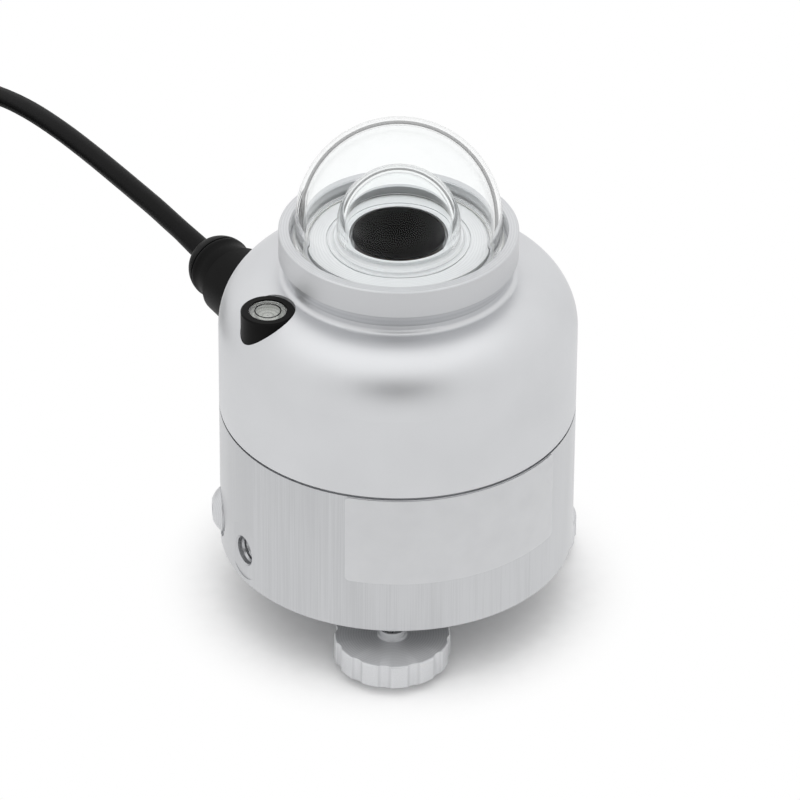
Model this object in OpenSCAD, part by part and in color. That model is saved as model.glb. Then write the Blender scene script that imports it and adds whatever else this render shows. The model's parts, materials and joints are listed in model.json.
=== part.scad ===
// Pyranometer with two glass domes, a bubble level, levelling feet and a plugged-on signal cable.
// Millimetres. Z is up, the housing's axis is the Z axis and the feet stand on z = 0.
// The viewer of the front looks along +Y. Bearings are measured from +X towards +Y.

/* [Housing] */
// Diameter of the round housing
body_d = 87; // [85:0.5:90]
// Height of the base, from its underside to the seam
base_h = 39; // [38:0.5:41]
// Thickness of the base's side wall
base_wall = 6; // [5.5:0.5:7]
// Thickness of the base's floor, which holds the threads
base_floor_t = 14; // [13:0.5:15]
// Height of the cap's straight wall above the seam
cap_wall_h = 21.7; // [21:0.1:24]
// Thickness of the cap's shell
cap_wall = 5; // [4.5:0.5:6]
// Height of the shadow gap in the seam
seam_gap_h = 0.5; // [0.3:0.1:0.8]
// Clearance of parts that are only located, per side
seat_gap = 0.1; // [0.05:0.05:0.15]
// Clearance of parts that turn or slide in each other, per side
run_gap = 0.05; // [0.02:0.01:0.08]

/* [Dome collar and glass] */
// Height of the neck that the collar stands on
neck_h = 2.3; // [1.8:0.1:3]
// Step from the shoulder's edge in to the neck
neck_inset = 1.3; // [1:0.1:1.6]
// Height of the collar
collar_h = 10.3; // [9.5:0.1:12]
// Depth of the collar's upper bore, down to the glass seat
collar_lip = 3.5; // [3:0.1:4.2]
// Height of the taper under the collar
collar_taper_h = 3.3; // [2.5:0.1:4]
// Outside diameter of the outer dome
outer_dome_d = 50; // [49:0.1:50.4]
// Outside diameter of the inner dome
inner_dome_d = 30; // [29:0.1:31]
// Glass thickness of both domes
dome_wall = 2; // [1.6:0.1:2.4]
// Height of the outer dome's straight skirt
outer_skirt_h = 5; // [4.5:0.1:6]
// Height of the inner dome's straight skirt
inner_skirt_h = 2.4; // [2.2:0.1:3]
// Space between the outer dome and the collar's bore
dome_margin = 1.05; // [0.8:0.05:1.2]
// Thickness of the collar's wall round the dome
collar_wall = 2.85; // [2.6:0.05:3.1]

/* [Sensor] */
// Diameter of the black sensor disc
sensor_d = 22.6; // [22:0.1:23]
// Thickness of the black sensor disc
sensor_t = 0.4; // [0.3:0.1:0.6]
// Thickness of the thermopile ring under the disc
thermopile_t = 2; // [1.6:0.1:2.4]
// Thickness of the deck plate round the sensor
deck_t = 3; // [2.6:0.1:3.4]
// Height of the ring that carries the inner dome
inner_seat_h = 0.8; // [0.6:0.1:1.2]
// Diameter of the sensor body's stem
stem_d = 30; // [28:0.5:31]
// Thickness of the sensor body's flange
stem_flange_t = 3.8; // [3:0.2:5]

/* [Level] */
// Diameter of the bubble level
level_d = 13.1; // [12.6:0.1:13.4]
// Height of the bubble level
level_h = 9.8; // [9:0.1:11]
// Bearing of the level
level_bearing = -152; // [-156:1:-148]
// Depth of the level's top below the top of the shoulder
level_drop = 0.4; // [0:0.1:1]
// Diameter of the level's window
level_window_d = 9.3; // [8.8:0.1:9.8]

/* [Feet] */
// Distance of the feet's axes from the housing's side
foot_inset = 8.5; // [8:0.1:9]
// Bearing of the front foot
foot_bearing = -91.5; // [-95:0.5:-88]
// Gap between the housing and a hand wheel at rest
foot_gap = 6.5; // [6.3:0.1:8]
// Diameter of the hand wheel
wheel_d = 28.3; // [27:0.1:29]
// Thickness of the hand wheel
wheel_t = 6.4; // [5.5:0.1:7]
// Height of the foot pad
pad_h = 2.6; // [2.4:0.1:3.2]
// Diameter of the foot pad
pad_d = 12; // [10:0.5:14]
// Diameter of the levelling screw's thread
stud_d = 6; // [5.8:0.1:6.2]
// Length of the levelling screw inside the housing at rest
stud_grip = 15.5; // [15:0.5:16]

/* [Side holes and plug] */
// Height of the side holes above the housing's underside
side_hole_z = 8.8; // [8:0.1:9.4]
// Bearing of the open threaded hole
side_hole_bearing = -149.2; // [-151:0.2:-147]
// Bearing of the closed hole with its plug
side_plug_bearing = -174.5; // [-176:0.5:-173]
// Diameter of the threaded hole's wall
side_hole_d = 6.8; // [6.6:0.1:7]
// Depth of the threaded hole
side_hole_depth = 9; // [8:0.5:9.5]
// Diameter of the plug's head
plug_head_d = 11; // [10.5:0.1:12]
// Height of the plug's head
plug_head_h = 2.6; // [2.3:0.1:3]

/* [Mounting] */
// Distance of the two mounting holes from the housing's side
mount_inset = 11; // [10.5:0.1:11.5]
// Diameter of the mounting holes' wall
mount_hole_d = 4.2; // [4:0.1:4.6]
// Depth of the mounting holes
mount_hole_depth = 10; // [8:0.5:11]

/* [Connector and cable] */
// Bearing of the connector
plug_bearing = 121; // [120:0.5:122]
// Depth of the connector's axis below the seam
plug_drop = 10.3; // [10.2:0.1:10.6]
// Diameter of the socket's flange
flange_d = 18.4; // [17.6:0.2:18.6]
// Thickness of the socket's flange
flange_t = 3; // [2.6:0.1:3.4]
// Diameter of the socket's threaded barrel
barrel_d = 11.9; // [11.5:0.1:12.3]
// Length of the socket's threaded barrel
barrel_h = 12; // [11:0.5:13]
// Diameter of the coupling ring
ring_d = 18.6; // [18:0.1:19]
// Length of the coupling ring
ring_h = 15.3; // [14.8:0.1:15.8]
// Diameter of the plug's grip
grip_d = 18.8; // [18:0.1:19.4]
// Length of the plug's grip
grip_h = 19.6; // [19:0.1:20.4]
// Diameter of the clamp nut
nut_d = 16.6; // [16:0.1:17.2]
// Length of the clamp nut's straight part
nut_h = 6.4; // [6:0.1:7.4]
// Diameter of the signal cable
cable_d = 5.3; // [5.1:0.1:5.4]
// Length of the tapered relief outside the nut
relief_h = 12; // [10:0.5:14]

/* [Hidden] */

$fn = 96;
// Fineness of small round pieces
small_fn = 48;
// Overrun of every cut past the face it leaves through
over = 1;

// Heights of the main levels above the floor
base_z = pad_h + wheel_t + foot_gap;
seam_z = base_z + base_h;
shoulder_z = seam_z + cap_wall_h;

// Radii of the housing
body_r = body_d / 2;
base_in_r = body_r - base_wall;
base_edge = 0.4;
cap_edge = 0.15;
seam_gap_depth = 0.8;
base_floor_z = base_z + base_floor_t;

// Collar, which sets the crown of the cap, and the heights on it
outer_dome_r = outer_dome_d / 2;
collar_bore_r = outer_dome_r + dome_margin;
collar_r = collar_bore_r + collar_wall;
collar_edge = 0.35;
crown_r = collar_r;
neck_r = crown_r - neck_inset;
shoulder_r = body_r - crown_r;
crown_z = shoulder_z + shoulder_r;
neck_z = crown_z + neck_h;
collar_z = neck_z + collar_h;
glass_seat_z = collar_z - collar_lip;

// Screws that join cap and base
joint_screw_d = 3;
joint_screw_head_d = 5.5;
joint_screw_head_h = 3;
joint_boss_r = 4.5;
joint_inset = 3;
joint_reach = base_in_r - joint_inset;
joint_offset = 21;
joint_screw_grip = 9;
joint_counterbore = 4;

// Seal rings: cord thickness, and the space round each in its groove
seal_d = 1.8;
seal_space = 0.1;
housing_seal_r = body_r - base_wall / 2;
collar_seal_d = 1.5;
collar_seal_inset = 2.4;
collar_seal_r = neck_r - collar_seal_inset;

// Hub, deck and domes
hub_inset = 1.2;
hub_r = outer_dome_r - dome_wall - hub_inset;
deck_lift = 0.8;
deck_z = glass_seat_z + deck_lift;
hub_z = deck_z - deck_t;
deck_r = hub_r - seat_gap;
bond_t = 0.5;
bond_inset = 0.4;
outer_dome_z = glass_seat_z + bond_t + outer_skirt_h;
inner_dome_r = inner_dome_d / 2;
inner_dome_z = deck_z + inner_seat_h + inner_skirt_h;

// Sensor
sensor_r = sensor_d / 2;
stem_r = stem_d / 2;
pedestal_margin = 0.3;
pedestal_r = sensor_r + pedestal_margin;
sensor_lift = 1.8;
sensor_top_z = deck_z + sensor_lift;
thermopile_bore_share = 0.33;
seat_step = 0.5;
seat_rim = 1;
deck_groove_reach = 2.2;
deck_groove_w = 0.35;
thermopile_z = sensor_top_z - sensor_t - thermopile_t;
cap_ceiling_z = crown_z - cap_wall;
stem_flange_w = 9;
stem_screw_offset = 5.2;
stem_flange_r = stem_r + stem_flange_w;
stem_screw_reach = stem_r + stem_screw_offset;
stem_screw_d = 3;
stem_screw_head_d = 5.5;
stem_screw_head_h = 3;
stem_screw_grip = cap_wall - 2 * seat_gap;

// Level
level_r = level_d / 2;
level_inset = 1;
level_reach = (crown_r + body_r) / 2 - level_inset;
level_bevel = 0.35;
level_window_r = level_window_d / 2;
level_top_z = crown_z - level_drop;
level_foot_z = level_top_z - level_h;
level_boss_wall = 1.8;
level_glass_t = 1.1;
level_glass_drop = 0.25;
level_liquid_t = 1.6;
level_dial_t = 1;
level_bubble_r = 1.95;
level_bubble_h = 0.8;
level_target_r = 3.25;
level_target_w = 0.3;
level_target_t = 0.06;

// Feet
foot_reach = body_r - foot_inset;
stud_r = stud_d / 2;
stud_bore_r = stud_r + run_gap;
stud_tip_z = 1;
stud_travel_room = 4.5;
foot_boss_r = 5.5;
wheel_r = wheel_d / 2;
wheel_boss_r = 3.4;
wheel_boss_h = 2.2;
wheel_chamfer = 0.7;
flute_r = 3;
flute_depth = 0.7;
flute_count = 12;
flute_phase = -6;
pad_bevel = 0.6;
fixed_post_r = 5;
fixed_spigot_h = 9;
foot_spacing = 120;

// Mounting holes, side holes and plug
mount_reach = body_r - mount_inset;
spot_r = 7.4;
spot_depth = 0.25;
plug_spot_r = 6.8;
plug_spot_depth = 0.1;
countersink = 0.6;
side_z = base_z + side_hole_z;
spot_s = body_r - spot_depth;
plug_spot_s = sqrt(body_r * body_r - plug_spot_r * plug_spot_r) - plug_spot_depth;
plug_thread_d = 6;
plug_thread_h = 6.5;
plug_seal_t = 0.5;
plug_seal_r = 4.6;
plug_rim_h = 0.6;
plug_face_r = 2.7;
plug_socket_d = 3.4;
plug_socket_depth = 1.2;

// Connector, measured outwards along its own axis from the housing's axis
cable_r = cable_d / 2;
plug_axis_z = seam_z - plug_drop;
flange_spot_r = flange_d / 2 + 2 * seat_gap;
flat_s = sqrt(body_r * body_r - flange_spot_r * flange_spot_r) - seat_gap;
socket_rear_h = 8.6;
socket_rear_r = 6;
socket_bore_r = 4.7;
flange_s = flat_s + flange_t;
barrel_s = flange_s + barrel_h;
barrel_r = barrel_d / 2;
ring_front_gap = 0.5;
ring_start_s = flange_s + ring_front_gap;
ring_s = ring_start_s + ring_h;
ring_r = ring_d / 2;
ring_rib_count = 18;
ring_rib_r = 0.9;
ring_rib_depth = 0.4;
ring_step_gap = 0.4;
ring_step_s = barrel_s + ring_step_gap;
plug_collar_r = 7.2;
plug_front_s = ring_step_s + 2 * seat_gap;
grip_start_s = ring_s + 2 * seat_gap;
grip_s = grip_start_s + grip_h;
insert_sink = 3;
insert_end_s = grip_start_s + insert_sink;
grip_r = grip_d / 2;
grip_flute_count = 10;
grip_flute_r = 2.2;
grip_flute_depth = 0.5;
grip_flute_l = 6.5;
spigot_r = 6.3;
spigot_h = 4.5;
nut_start_s = grip_s + 3 * seat_gap;
nut_r = nut_d / 2;
nut_waist = 0.5;
nut_flare_h = 1.7;
nut_groove_w = 0.4;
nut_groove_lift = 0.7;
nut_groove_depth = 0.3;
nut_collar_s = nut_start_s + nut_h;
nut_end_s = nut_collar_s + nut_r;
nut_cavity_r = spigot_r + seat_gap;
relief_wall = 0.3;
relief_r = cable_r + relief_wall;
nut_exit_r = relief_r + run_gap;
plug_seal_h = 4;
plug_seal_s = grip_s + spigot_h + seat_gap;
relief_step_s = plug_seal_s + plug_seal_h + seat_gap;
relief_start_s = insert_end_s + seat_gap;
relief_end_s = nut_end_s + relief_h;
insert_r = 4.5;
insert_rear = 6;
insert_nose = 4.5;
insert_start_s = flat_s - insert_rear;
insert_split_s = flange_s + insert_nose;
plug_cavity_r = 5.6;
plug_cavity_wall = 2;
plug_cavity_end_s = grip_s - plug_cavity_wall;
pin_r = 0.5;
pin_ring_r = 2.3;
pin_count = 4;
pin_tail = 2.5;
pin_drop = 1.2;
pin_start_s = insert_start_s - pin_tail;
pin_end_s = barrel_s - pin_drop;
flange_seal_d = 1.2;
flange_seal_r = 7.6;

// Board and bag inside the base
board_margin = 5;
board_r = joint_reach - joint_boss_r - board_margin;
board_t = 1.6;
board_post_h = 6;
board_post_r = 2.5;
board_screw_inset = 3.5;
board_screw_reach = board_r - board_screw_inset;
board_screw_d = 2.5;
board_screw_head_d = 4.4;
board_screw_head_h = 2;
board_z = base_floor_z + board_post_h;
block_l = 25.4;
block_w = 8;
block_h = 9;
block_pitch = 5.08;
block_ways = 5;
block_hole_d = 3;
block_y = 9;
bag_r = 10.5;
bag_h = 9;
bag_y = -6.5;
bag_lift = 0.3;
bag_flat_share = 0.6;
bag_side_share = 0.9;

// Blank label film on the base
film_t = 0.12;
film_h = 24;
film_drop = 0.8;
film_start = -106.5;
film_angle = 76;

// Route of the free cable, from the relief's end towards the coil
cable_route = [[-55.7, 92.7, 44.2], [-58.8, 97.8, 44.1], [-62.9, 104.7, 43.9], [-68.1, 113.3, 43.4],
    [-74.3, 123.6, 42.7], [-81.5, 135.6, 41.7], [-89.7, 149.2, 40.1], [-98.8, 164.2, 37.3],
    [-107.6, 178.2, 33.2], [-116.8, 191.4, 27.6], [-127, 204.5, 20.8], [-137.5, 213.5, 13],
    [-147.5, 218.9, 7.6], [-156, 220.8, 4.6]];
cable_sides = 10;
// Coil of the stored cable
coil_x = -172;
coil_y = 168.04;
coil_lift = 1.25;
coil_mean_r = 38.5;
coil_step = 5.9;
coil_layer_h = 5.9;
coil_layers = 4;
coil_layer_turns = 4.8;
coil_rings = 24;
coil_sides = 6;
coil_start_angle = 90;
coil_climb_turns = 0.5;
coil_turns = coil_layers * coil_layer_turns;
coil_out_r = coil_mean_r + coil_step * coil_layer_turns / 2;
coil_in_r = coil_mean_r - coil_step * coil_layer_turns / 2;
coil_z = coil_lift + cable_r;
coil_top_z = coil_z + coil_layer_h * (coil_layers - 1) + cable_r;
tie_w = 9;
tie_t = 1;
tie_gap = 0.25;
tie_angles = [10, 130, 250];
core_r = 0.5;
core_sides = 6;
core_rings = 12;
core_count = 4;
core_l = 34;
core_fan = 2.2;
core_pack = 1.1;
core_shift = 6;
ferrule_r = 0.75;
ferrule_l = 8;

// Solid ring with a rectangular section
module tube(r_out, r_in, h) {
    difference() {
        cylinder(r = r_out, h = h);
        translate([0, 0, -over]) cylinder(r = r_in, h = h + 2 * over);
    }
}

// Seal ring of round section
module seal_ring(ring_radius, cord_d) {
    rotate_extrude() translate([ring_radius, 0]) circle(d = cord_d, $fn = small_fn);
}

// Groove with a square section that holds a seal ring
module seal_groove(ring_radius, cord_d) {
    half_w = cord_d / 2 + seal_space;
    tube(ring_radius + half_w, ring_radius - half_w, cord_d + seal_space);
}

// Places its child at a bearing and a distance from the housing's axis
module at_bearing(bearing, reach, z) {
    rotate([0, 0, bearing]) translate([reach, 0, z]) children();
}

// Turns its child so that its Z axis runs outwards along a bearing
module outwards(bearing, z) {
    translate([0, 0, z]) rotate([0, 0, bearing]) rotate([0, 90, 0]) children();
}

// Places its child at each of the three screws that join the housing
module at_joint_screws() {
    for (i = [0:2])
        at_bearing(foot_bearing + joint_offset + i * foot_spacing, joint_reach, 0) children();
}

module at_sensor_screws() {
    for (i = [0:2])
        at_bearing(foot_bearing + i * foot_spacing, stem_screw_reach, 0) children();
}

module at_board_posts() {
    for (i = [0:2])
        at_bearing(foot_bearing + i * foot_spacing, board_screw_reach, 0) children();
}

// Half section of the cap's outside, above the seam
module cap_outline() {
    polygon([[0, seam_z], [body_r - cap_edge, seam_z], [body_r, seam_z + cap_edge],
        [body_r, shoulder_z], [0, shoulder_z]]);
    translate([0, shoulder_z]) square([crown_r, shoulder_r]);
    intersection() {
        translate([crown_r, shoulder_z]) circle(r = shoulder_r);
        translate([crown_r, shoulder_z]) square(shoulder_r);
    }
    translate([0, crown_z]) square([neck_r, neck_h]);
    difference() {
        translate([neck_r, crown_z]) square(neck_inset);
        translate([crown_r, crown_z + neck_inset]) circle(r = neck_inset, $fn = small_fn);
    }
    translate([0, neck_z]) square([hub_r, hub_z - neck_z]);
}

// Half section of the cap's hollow
module cap_hollow() {
    in_r = body_r - cap_wall;
    round_r = shoulder_r - cap_wall;
    translate([0, seam_z - over]) square([in_r, cap_wall_h + over]);
    translate([0, shoulder_z]) square([crown_r, round_r]);
    intersection() {
        translate([crown_r, shoulder_z]) circle(r = round_r);
        translate([crown_r, shoulder_z]) square(round_r);
    }
}

// Bosses inside the cap: one round the level's pocket and one for each housing screw
module cap_bosses() {
    intersection() {
        rotate_extrude() cap_outline();
        union() {
            at_bearing(level_bearing, level_reach, level_foot_z - level_boss_wall)
                cylinder(r = level_r + level_boss_wall, h = level_h + level_boss_wall);
            at_joint_screws()
                translate([0, 0, seam_z]) cylinder(r = joint_boss_r, h = joint_screw_grip + joint_screw_d);
        }
    }
}

module cap_housing() {
    color("gainsboro")
    difference() {
        union() {
            difference() {
                rotate_extrude() cap_outline();
                rotate_extrude() cap_hollow();
            }
            cap_bosses();
        }
        at_bearing(level_bearing, level_reach, level_foot_z - seat_gap)
            cylinder(r = level_r + seat_gap, h = level_h + shoulder_r);
        translate([0, 0, cap_ceiling_z - over]) cylinder(r = stem_r + seat_gap, h = hub_z);
        at_joint_screws()
            translate([0, 0, seam_z - over])
                cylinder(d = joint_screw_d + 2 * run_gap, h = joint_screw_grip + over, $fn = small_fn);
        at_sensor_screws()
            translate([0, 0, cap_ceiling_z - over])
                cylinder(d = stem_screw_d + 2 * run_gap, h = stem_screw_grip + over, $fn = small_fn);
        translate([0, 0, neck_z - collar_seal_d - seal_space])
            seal_groove(collar_seal_r, collar_seal_d);
    }
}

// Flat cut square to a radius, with a hole behind it
module side_cut(bearing, z, flat_r, flat_s, hole_r, hole_end_s) {
    outwards(bearing, z) {
        translate([0, 0, flat_s]) cylinder(r = flat_r, h = body_r);
        translate([0, 0, hole_end_s]) cylinder(r = hole_r, h = body_r, $fn = small_fn);
    }
}

module base_housing() {
    difference() {
        color("silver")
        union() {
            difference() {
                rotate_extrude()
                    polygon([[0, base_z], [body_r - base_edge, base_z], [body_r, base_z + base_edge],
                        [body_r, seam_z - seam_gap_h], [body_r - seam_gap_depth, seam_z - seam_gap_h],
                        [body_r - seam_gap_depth, seam_z], [0, seam_z]]);
                translate([0, 0, base_floor_z]) cylinder(r = base_in_r, h = base_h);
            }
            intersection() {
                translate([0, 0, base_floor_z - over])
                    cylinder(r = body_r - over, h = seam_z - base_floor_z + over);
                union() {
                    at_joint_screws()
                        translate([0, 0, base_z + over]) cylinder(r = joint_boss_r, h = base_h - over);
                    for (i = [0:1])
                        at_bearing(foot_bearing + i * foot_spacing, foot_reach, base_z + over)
                            cylinder(r = foot_boss_r, h = stud_grip + stud_travel_room + over);
                }
            }
        }
        for (i = [0:1])
            at_bearing(foot_bearing + i * foot_spacing, foot_reach, base_z - over)
                cylinder(r = stud_bore_r, h = stud_grip + stud_travel_room + over, $fn = small_fn);
        at_bearing(foot_bearing + 2 * foot_spacing, foot_reach, base_z - over)
            cylinder(r = stud_bore_r, h = fixed_spigot_h + over + seat_gap, $fn = small_fn);
        at_joint_screws() {
            translate([0, 0, base_z - over])
                cylinder(d = joint_screw_d + 2 * seat_gap, h = base_h + 2 * over, $fn = small_fn);
            translate([0, 0, base_z - over])
                cylinder(d = joint_screw_head_d + 4 * seat_gap, h = joint_counterbore + over,
                    $fn = small_fn);
        }
        for (x = [-mount_reach, mount_reach])
            translate([x, 0, base_z - over])
                cylinder(d = mount_hole_d, h = mount_hole_depth + over, $fn = small_fn);
        translate([0, 0, seam_z - seal_d - seal_space]) seal_groove(housing_seal_r, seal_d);
        side_cut(side_hole_bearing, side_z, spot_r, spot_s, side_hole_d / 2, spot_s - side_hole_depth);
        outwards(side_hole_bearing, side_z)
            translate([0, 0, spot_s - countersink])
                cylinder(r1 = side_hole_d / 2, r2 = side_hole_d / 2 + countersink, h = countersink,
                    $fn = small_fn);
        side_cut(side_plug_bearing, side_z, plug_spot_r, plug_spot_s, plug_thread_d / 2 + run_gap,
            plug_spot_s - plug_thread_h - seat_gap);
        side_cut(plug_bearing, plug_axis_z, flange_spot_r, flat_s, socket_rear_r + run_gap,
            joint_reach - base_wall);
        at_board_posts()
            translate([0, 0, base_floor_z - board_post_h])
                cylinder(d = board_screw_d + 2 * run_gap, h = board_post_h + over, $fn = small_fn);
    }
}

module housing_seal() {
    color("black")
    translate([0, 0, seam_z - seal_d / 2 - seal_space / 2]) seal_ring(housing_seal_r, seal_d);
}

// Cap screw with its head below and its shank upwards from z = 0
module cap_screw(shank_d, shank_h, head_d, head_h) {
    difference() {
        union() {
            translate([0, 0, -head_h]) cylinder(d = head_d, h = head_h, $fn = small_fn);
            cylinder(d = shank_d, h = shank_h, $fn = small_fn);
        }
        translate([0, 0, -head_h - over]) cylinder(d = shank_d, h = head_h / 2 + over, $fn = 6);
    }
}

module housing_screws() {
    color("lightgray")
    at_joint_screws()
        translate([0, 0, base_z + joint_counterbore])
            cap_screw(joint_screw_d, base_h - joint_counterbore + joint_screw_grip - seat_gap,
                joint_screw_head_d, joint_screw_head_h);
}

module dome_collar() {
    color("lightgray")
    rotate_extrude()
        polygon([[hub_r + seat_gap, neck_z], [neck_r, neck_z], [collar_r, neck_z + collar_taper_h],
            [collar_r, collar_z - collar_edge], [collar_r - collar_edge, collar_z],
            [collar_bore_r + collar_edge, collar_z], [collar_bore_r, collar_z - collar_edge],
            [collar_bore_r, glass_seat_z], [hub_r + seat_gap, glass_seat_z]]);
}

module collar_seal() {
    color("black")
    translate([0, 0, neck_z - collar_seal_d / 2 - seal_space / 2]) seal_ring(collar_seal_r, collar_seal_d);
}

// Glass dome: a half sphere on a straight skirt
module glass_dome(r, wall, skirt, z) {
    translate([0, 0, z])
    rotate_extrude() {
        intersection() {
            difference() {
                circle(r = r);
                circle(r = r - wall);
            }
            square(r);
        }
        translate([r - wall, -skirt]) square([wall, skirt]);
    }
}

module outer_dome() {
    color("lightcyan", 0.3) glass_dome(outer_dome_r, dome_wall, outer_skirt_h, outer_dome_z);
}

module outer_dome_bond() {
    color("white")
    translate([0, 0, glass_seat_z])
        tube(outer_dome_r + bond_inset, outer_dome_r - dome_wall - bond_inset, bond_t);
}

module inner_dome() {
    color("lightcyan", 0.3) glass_dome(inner_dome_r, dome_wall, inner_skirt_h, inner_dome_z);
}

// Stepped ring that carries the inner dome
module inner_dome_seat() {
    seat_in_r = pedestal_r + seat_step;
    seat_r = inner_dome_r + seat_rim;
    lip_r = inner_dome_r - dome_wall - seat_gap;
    color("gainsboro")
    translate([0, 0, deck_z])
    rotate_extrude()
        polygon([[seat_in_r, 0], [seat_r, 0], [seat_r, inner_seat_h - collar_edge],
            [seat_r - collar_edge, inner_seat_h], [lip_r, inner_seat_h],
            [lip_r, 2 * inner_seat_h], [seat_in_r, 2 * inner_seat_h]]);
}

module sensor_deck() {
    groove_r = inner_dome_r + deck_groove_reach;
    color("gainsboro")
    translate([0, 0, hub_z])
    difference() {
        tube(deck_r, pedestal_r + seat_gap, deck_t);
        translate([0, 0, deck_t - deck_groove_w])
            tube(groove_r + deck_groove_w, groove_r, deck_groove_w + over);
    }
}

module sensor_disc() {
    color("black") translate([0, 0, sensor_top_z - sensor_t]) cylinder(r = sensor_r, h = sensor_t);
}

module thermopile() {
    color("goldenrod")
    translate([0, 0, thermopile_z])
        tube(sensor_r - pedestal_margin, sensor_r * thermopile_bore_share, thermopile_t);
}

// Heat sink under the sensor, hung in the cap from below
module sensor_body() {
    flange_z = cap_ceiling_z - seat_gap;
    color("silver")
    difference() {
        union() {
            translate([0, 0, flange_z - stem_flange_t]) cylinder(r = stem_flange_r, h = stem_flange_t);
            translate([0, 0, flange_z - over]) cylinder(r = stem_r, h = hub_z - flange_z + over);
            translate([0, 0, hub_z - over]) cylinder(r = pedestal_r, h = thermopile_z - hub_z + over);
        }
        at_sensor_screws()
            translate([0, 0, flange_z - stem_flange_t - over])
                cylinder(d = stem_screw_d + 2 * seat_gap, h = stem_flange_t + 2 * over, $fn = small_fn);
    }
}

module sensor_screws() {
    color("lightgray")
    at_sensor_screws()
        translate([0, 0, cap_ceiling_z - seat_gap - stem_flange_t])
            cap_screw(stem_screw_d, stem_flange_t + stem_screw_grip, stem_screw_head_d, stem_screw_head_h);
}

level_glass_z = level_top_z - level_glass_drop - level_glass_t;
level_liquid_z = level_glass_z - level_liquid_t;
level_dial_z = level_liquid_z - level_dial_t;

module at_level(z) {
    at_bearing(level_bearing, level_reach, z) children();
}

module level_cup() {
    color("black")
    at_level(level_foot_z)
    difference() {
        rotate_extrude()
            polygon([[0, 0], [level_r, 0], [level_r, level_h - level_bevel],
                [level_r - level_bevel, level_h],
                [0, level_h]]);
        translate([0, 0, level_dial_z - level_foot_z])
            cylinder(r = level_window_r, h = level_h, $fn = small_fn);
    }
}

module level_dial() {
    color("honeydew") at_level(level_dial_z)
        cylinder(r = level_window_r - run_gap, h = level_dial_t, $fn = small_fn);
}

module level_liquid() {
    color("palegreen", 0.5)
    at_level(level_liquid_z)
    difference() {
        cylinder(r = level_window_r - run_gap, h = level_liquid_t, $fn = small_fn);
        translate([0, 0, level_liquid_t - level_bubble_h])
            cylinder(r = level_bubble_r, h = level_bubble_h + over, $fn = small_fn);
    }
}

module level_bubble() {
    color("white", 0.3)
    at_level(level_liquid_z + level_liquid_t - level_bubble_h)
    rotate_extrude($fn = small_fn)
        polygon([[0, 0], [level_bubble_r - level_bubble_h, 0],
            [level_bubble_r - run_gap, level_bubble_h / 2],
            [level_bubble_r - level_bubble_h / 2, level_bubble_h], [0, level_bubble_h]]);
}

module level_glass() {
    color("lightcyan", 0.3)
    at_level(level_glass_z) cylinder(r = level_window_r - run_gap, h = level_glass_t, $fn = small_fn);
}

module level_target() {
    color("black")
    at_level(level_glass_z + level_glass_t)
        tube(level_target_r, level_target_r - level_target_w, level_target_t);
}

module connector_socket() {
    color("silver")
    outwards(plug_bearing, plug_axis_z)
    difference() {
        union() {
            translate([0, 0, flat_s - socket_rear_h]) cylinder(r = socket_rear_r, h = socket_rear_h + over);
            translate([0, 0, flat_s]) cylinder(r = flange_d / 2, h = flange_t);
            translate([0, 0, flange_s - over]) cylinder(r = barrel_r, h = barrel_h + over);
        }
        translate([0, 0, flat_s - socket_rear_h - over])
            cylinder(r = socket_bore_r, h = barrel_s - flat_s + socket_rear_h + 2 * over);
        translate([0, 0, flat_s - seal_space]) seal_groove(flange_seal_r, flange_seal_d);
    }
}

module connector_seal() {
    color("black")
    outwards(plug_bearing, plug_axis_z)
        translate([0, 0, flat_s + flange_seal_d / 2]) seal_ring(flange_seal_r, flange_seal_d - seal_space);
}

// Copies its child round the connector's axis at each contact
module at_pins() {
    for (i = [0:pin_count - 1])
        rotate([0, 0, 45 + i * 360 / pin_count]) translate([pin_ring_r, 0, 0]) children();
}

module socket_insert() {
    color("black")
    outwards(plug_bearing, plug_axis_z)
    difference() {
        translate([0, 0, insert_start_s])
            cylinder(r = socket_bore_r - run_gap, h = insert_split_s - insert_start_s);
        at_pins() translate([0, 0, insert_start_s - over])
            cylinder(r = pin_r + run_gap, h = insert_split_s - insert_start_s + 2 * over, $fn = small_fn);
    }
}

module contact_pins() {
    color("gold")
    outwards(plug_bearing, plug_axis_z)
    at_pins() {
        translate([0, 0, pin_start_s]) cylinder(r = pin_r, h = pin_end_s - pin_start_s, $fn = small_fn);
    }
}

module coupling_ring() {
    color("dimgray")
    outwards(plug_bearing, plug_axis_z)
    difference() {
        translate([0, 0, ring_start_s]) cylinder(r = ring_r, h = ring_h);
        translate([0, 0, ring_start_s - over]) cylinder(r = barrel_r + run_gap, h = ring_h + 2 * over);
        translate([0, 0, ring_step_s]) cylinder(r = plug_collar_r + seat_gap, h = ring_h);
        for (i = [0:ring_rib_count - 1])
            rotate([0, 0, i * 360 / ring_rib_count])
                translate([ring_r + ring_rib_r - ring_rib_depth, 0, ring_start_s + over])
                    cylinder(r = ring_rib_r, h = ring_h, $fn = 24);
    }
}

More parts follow.
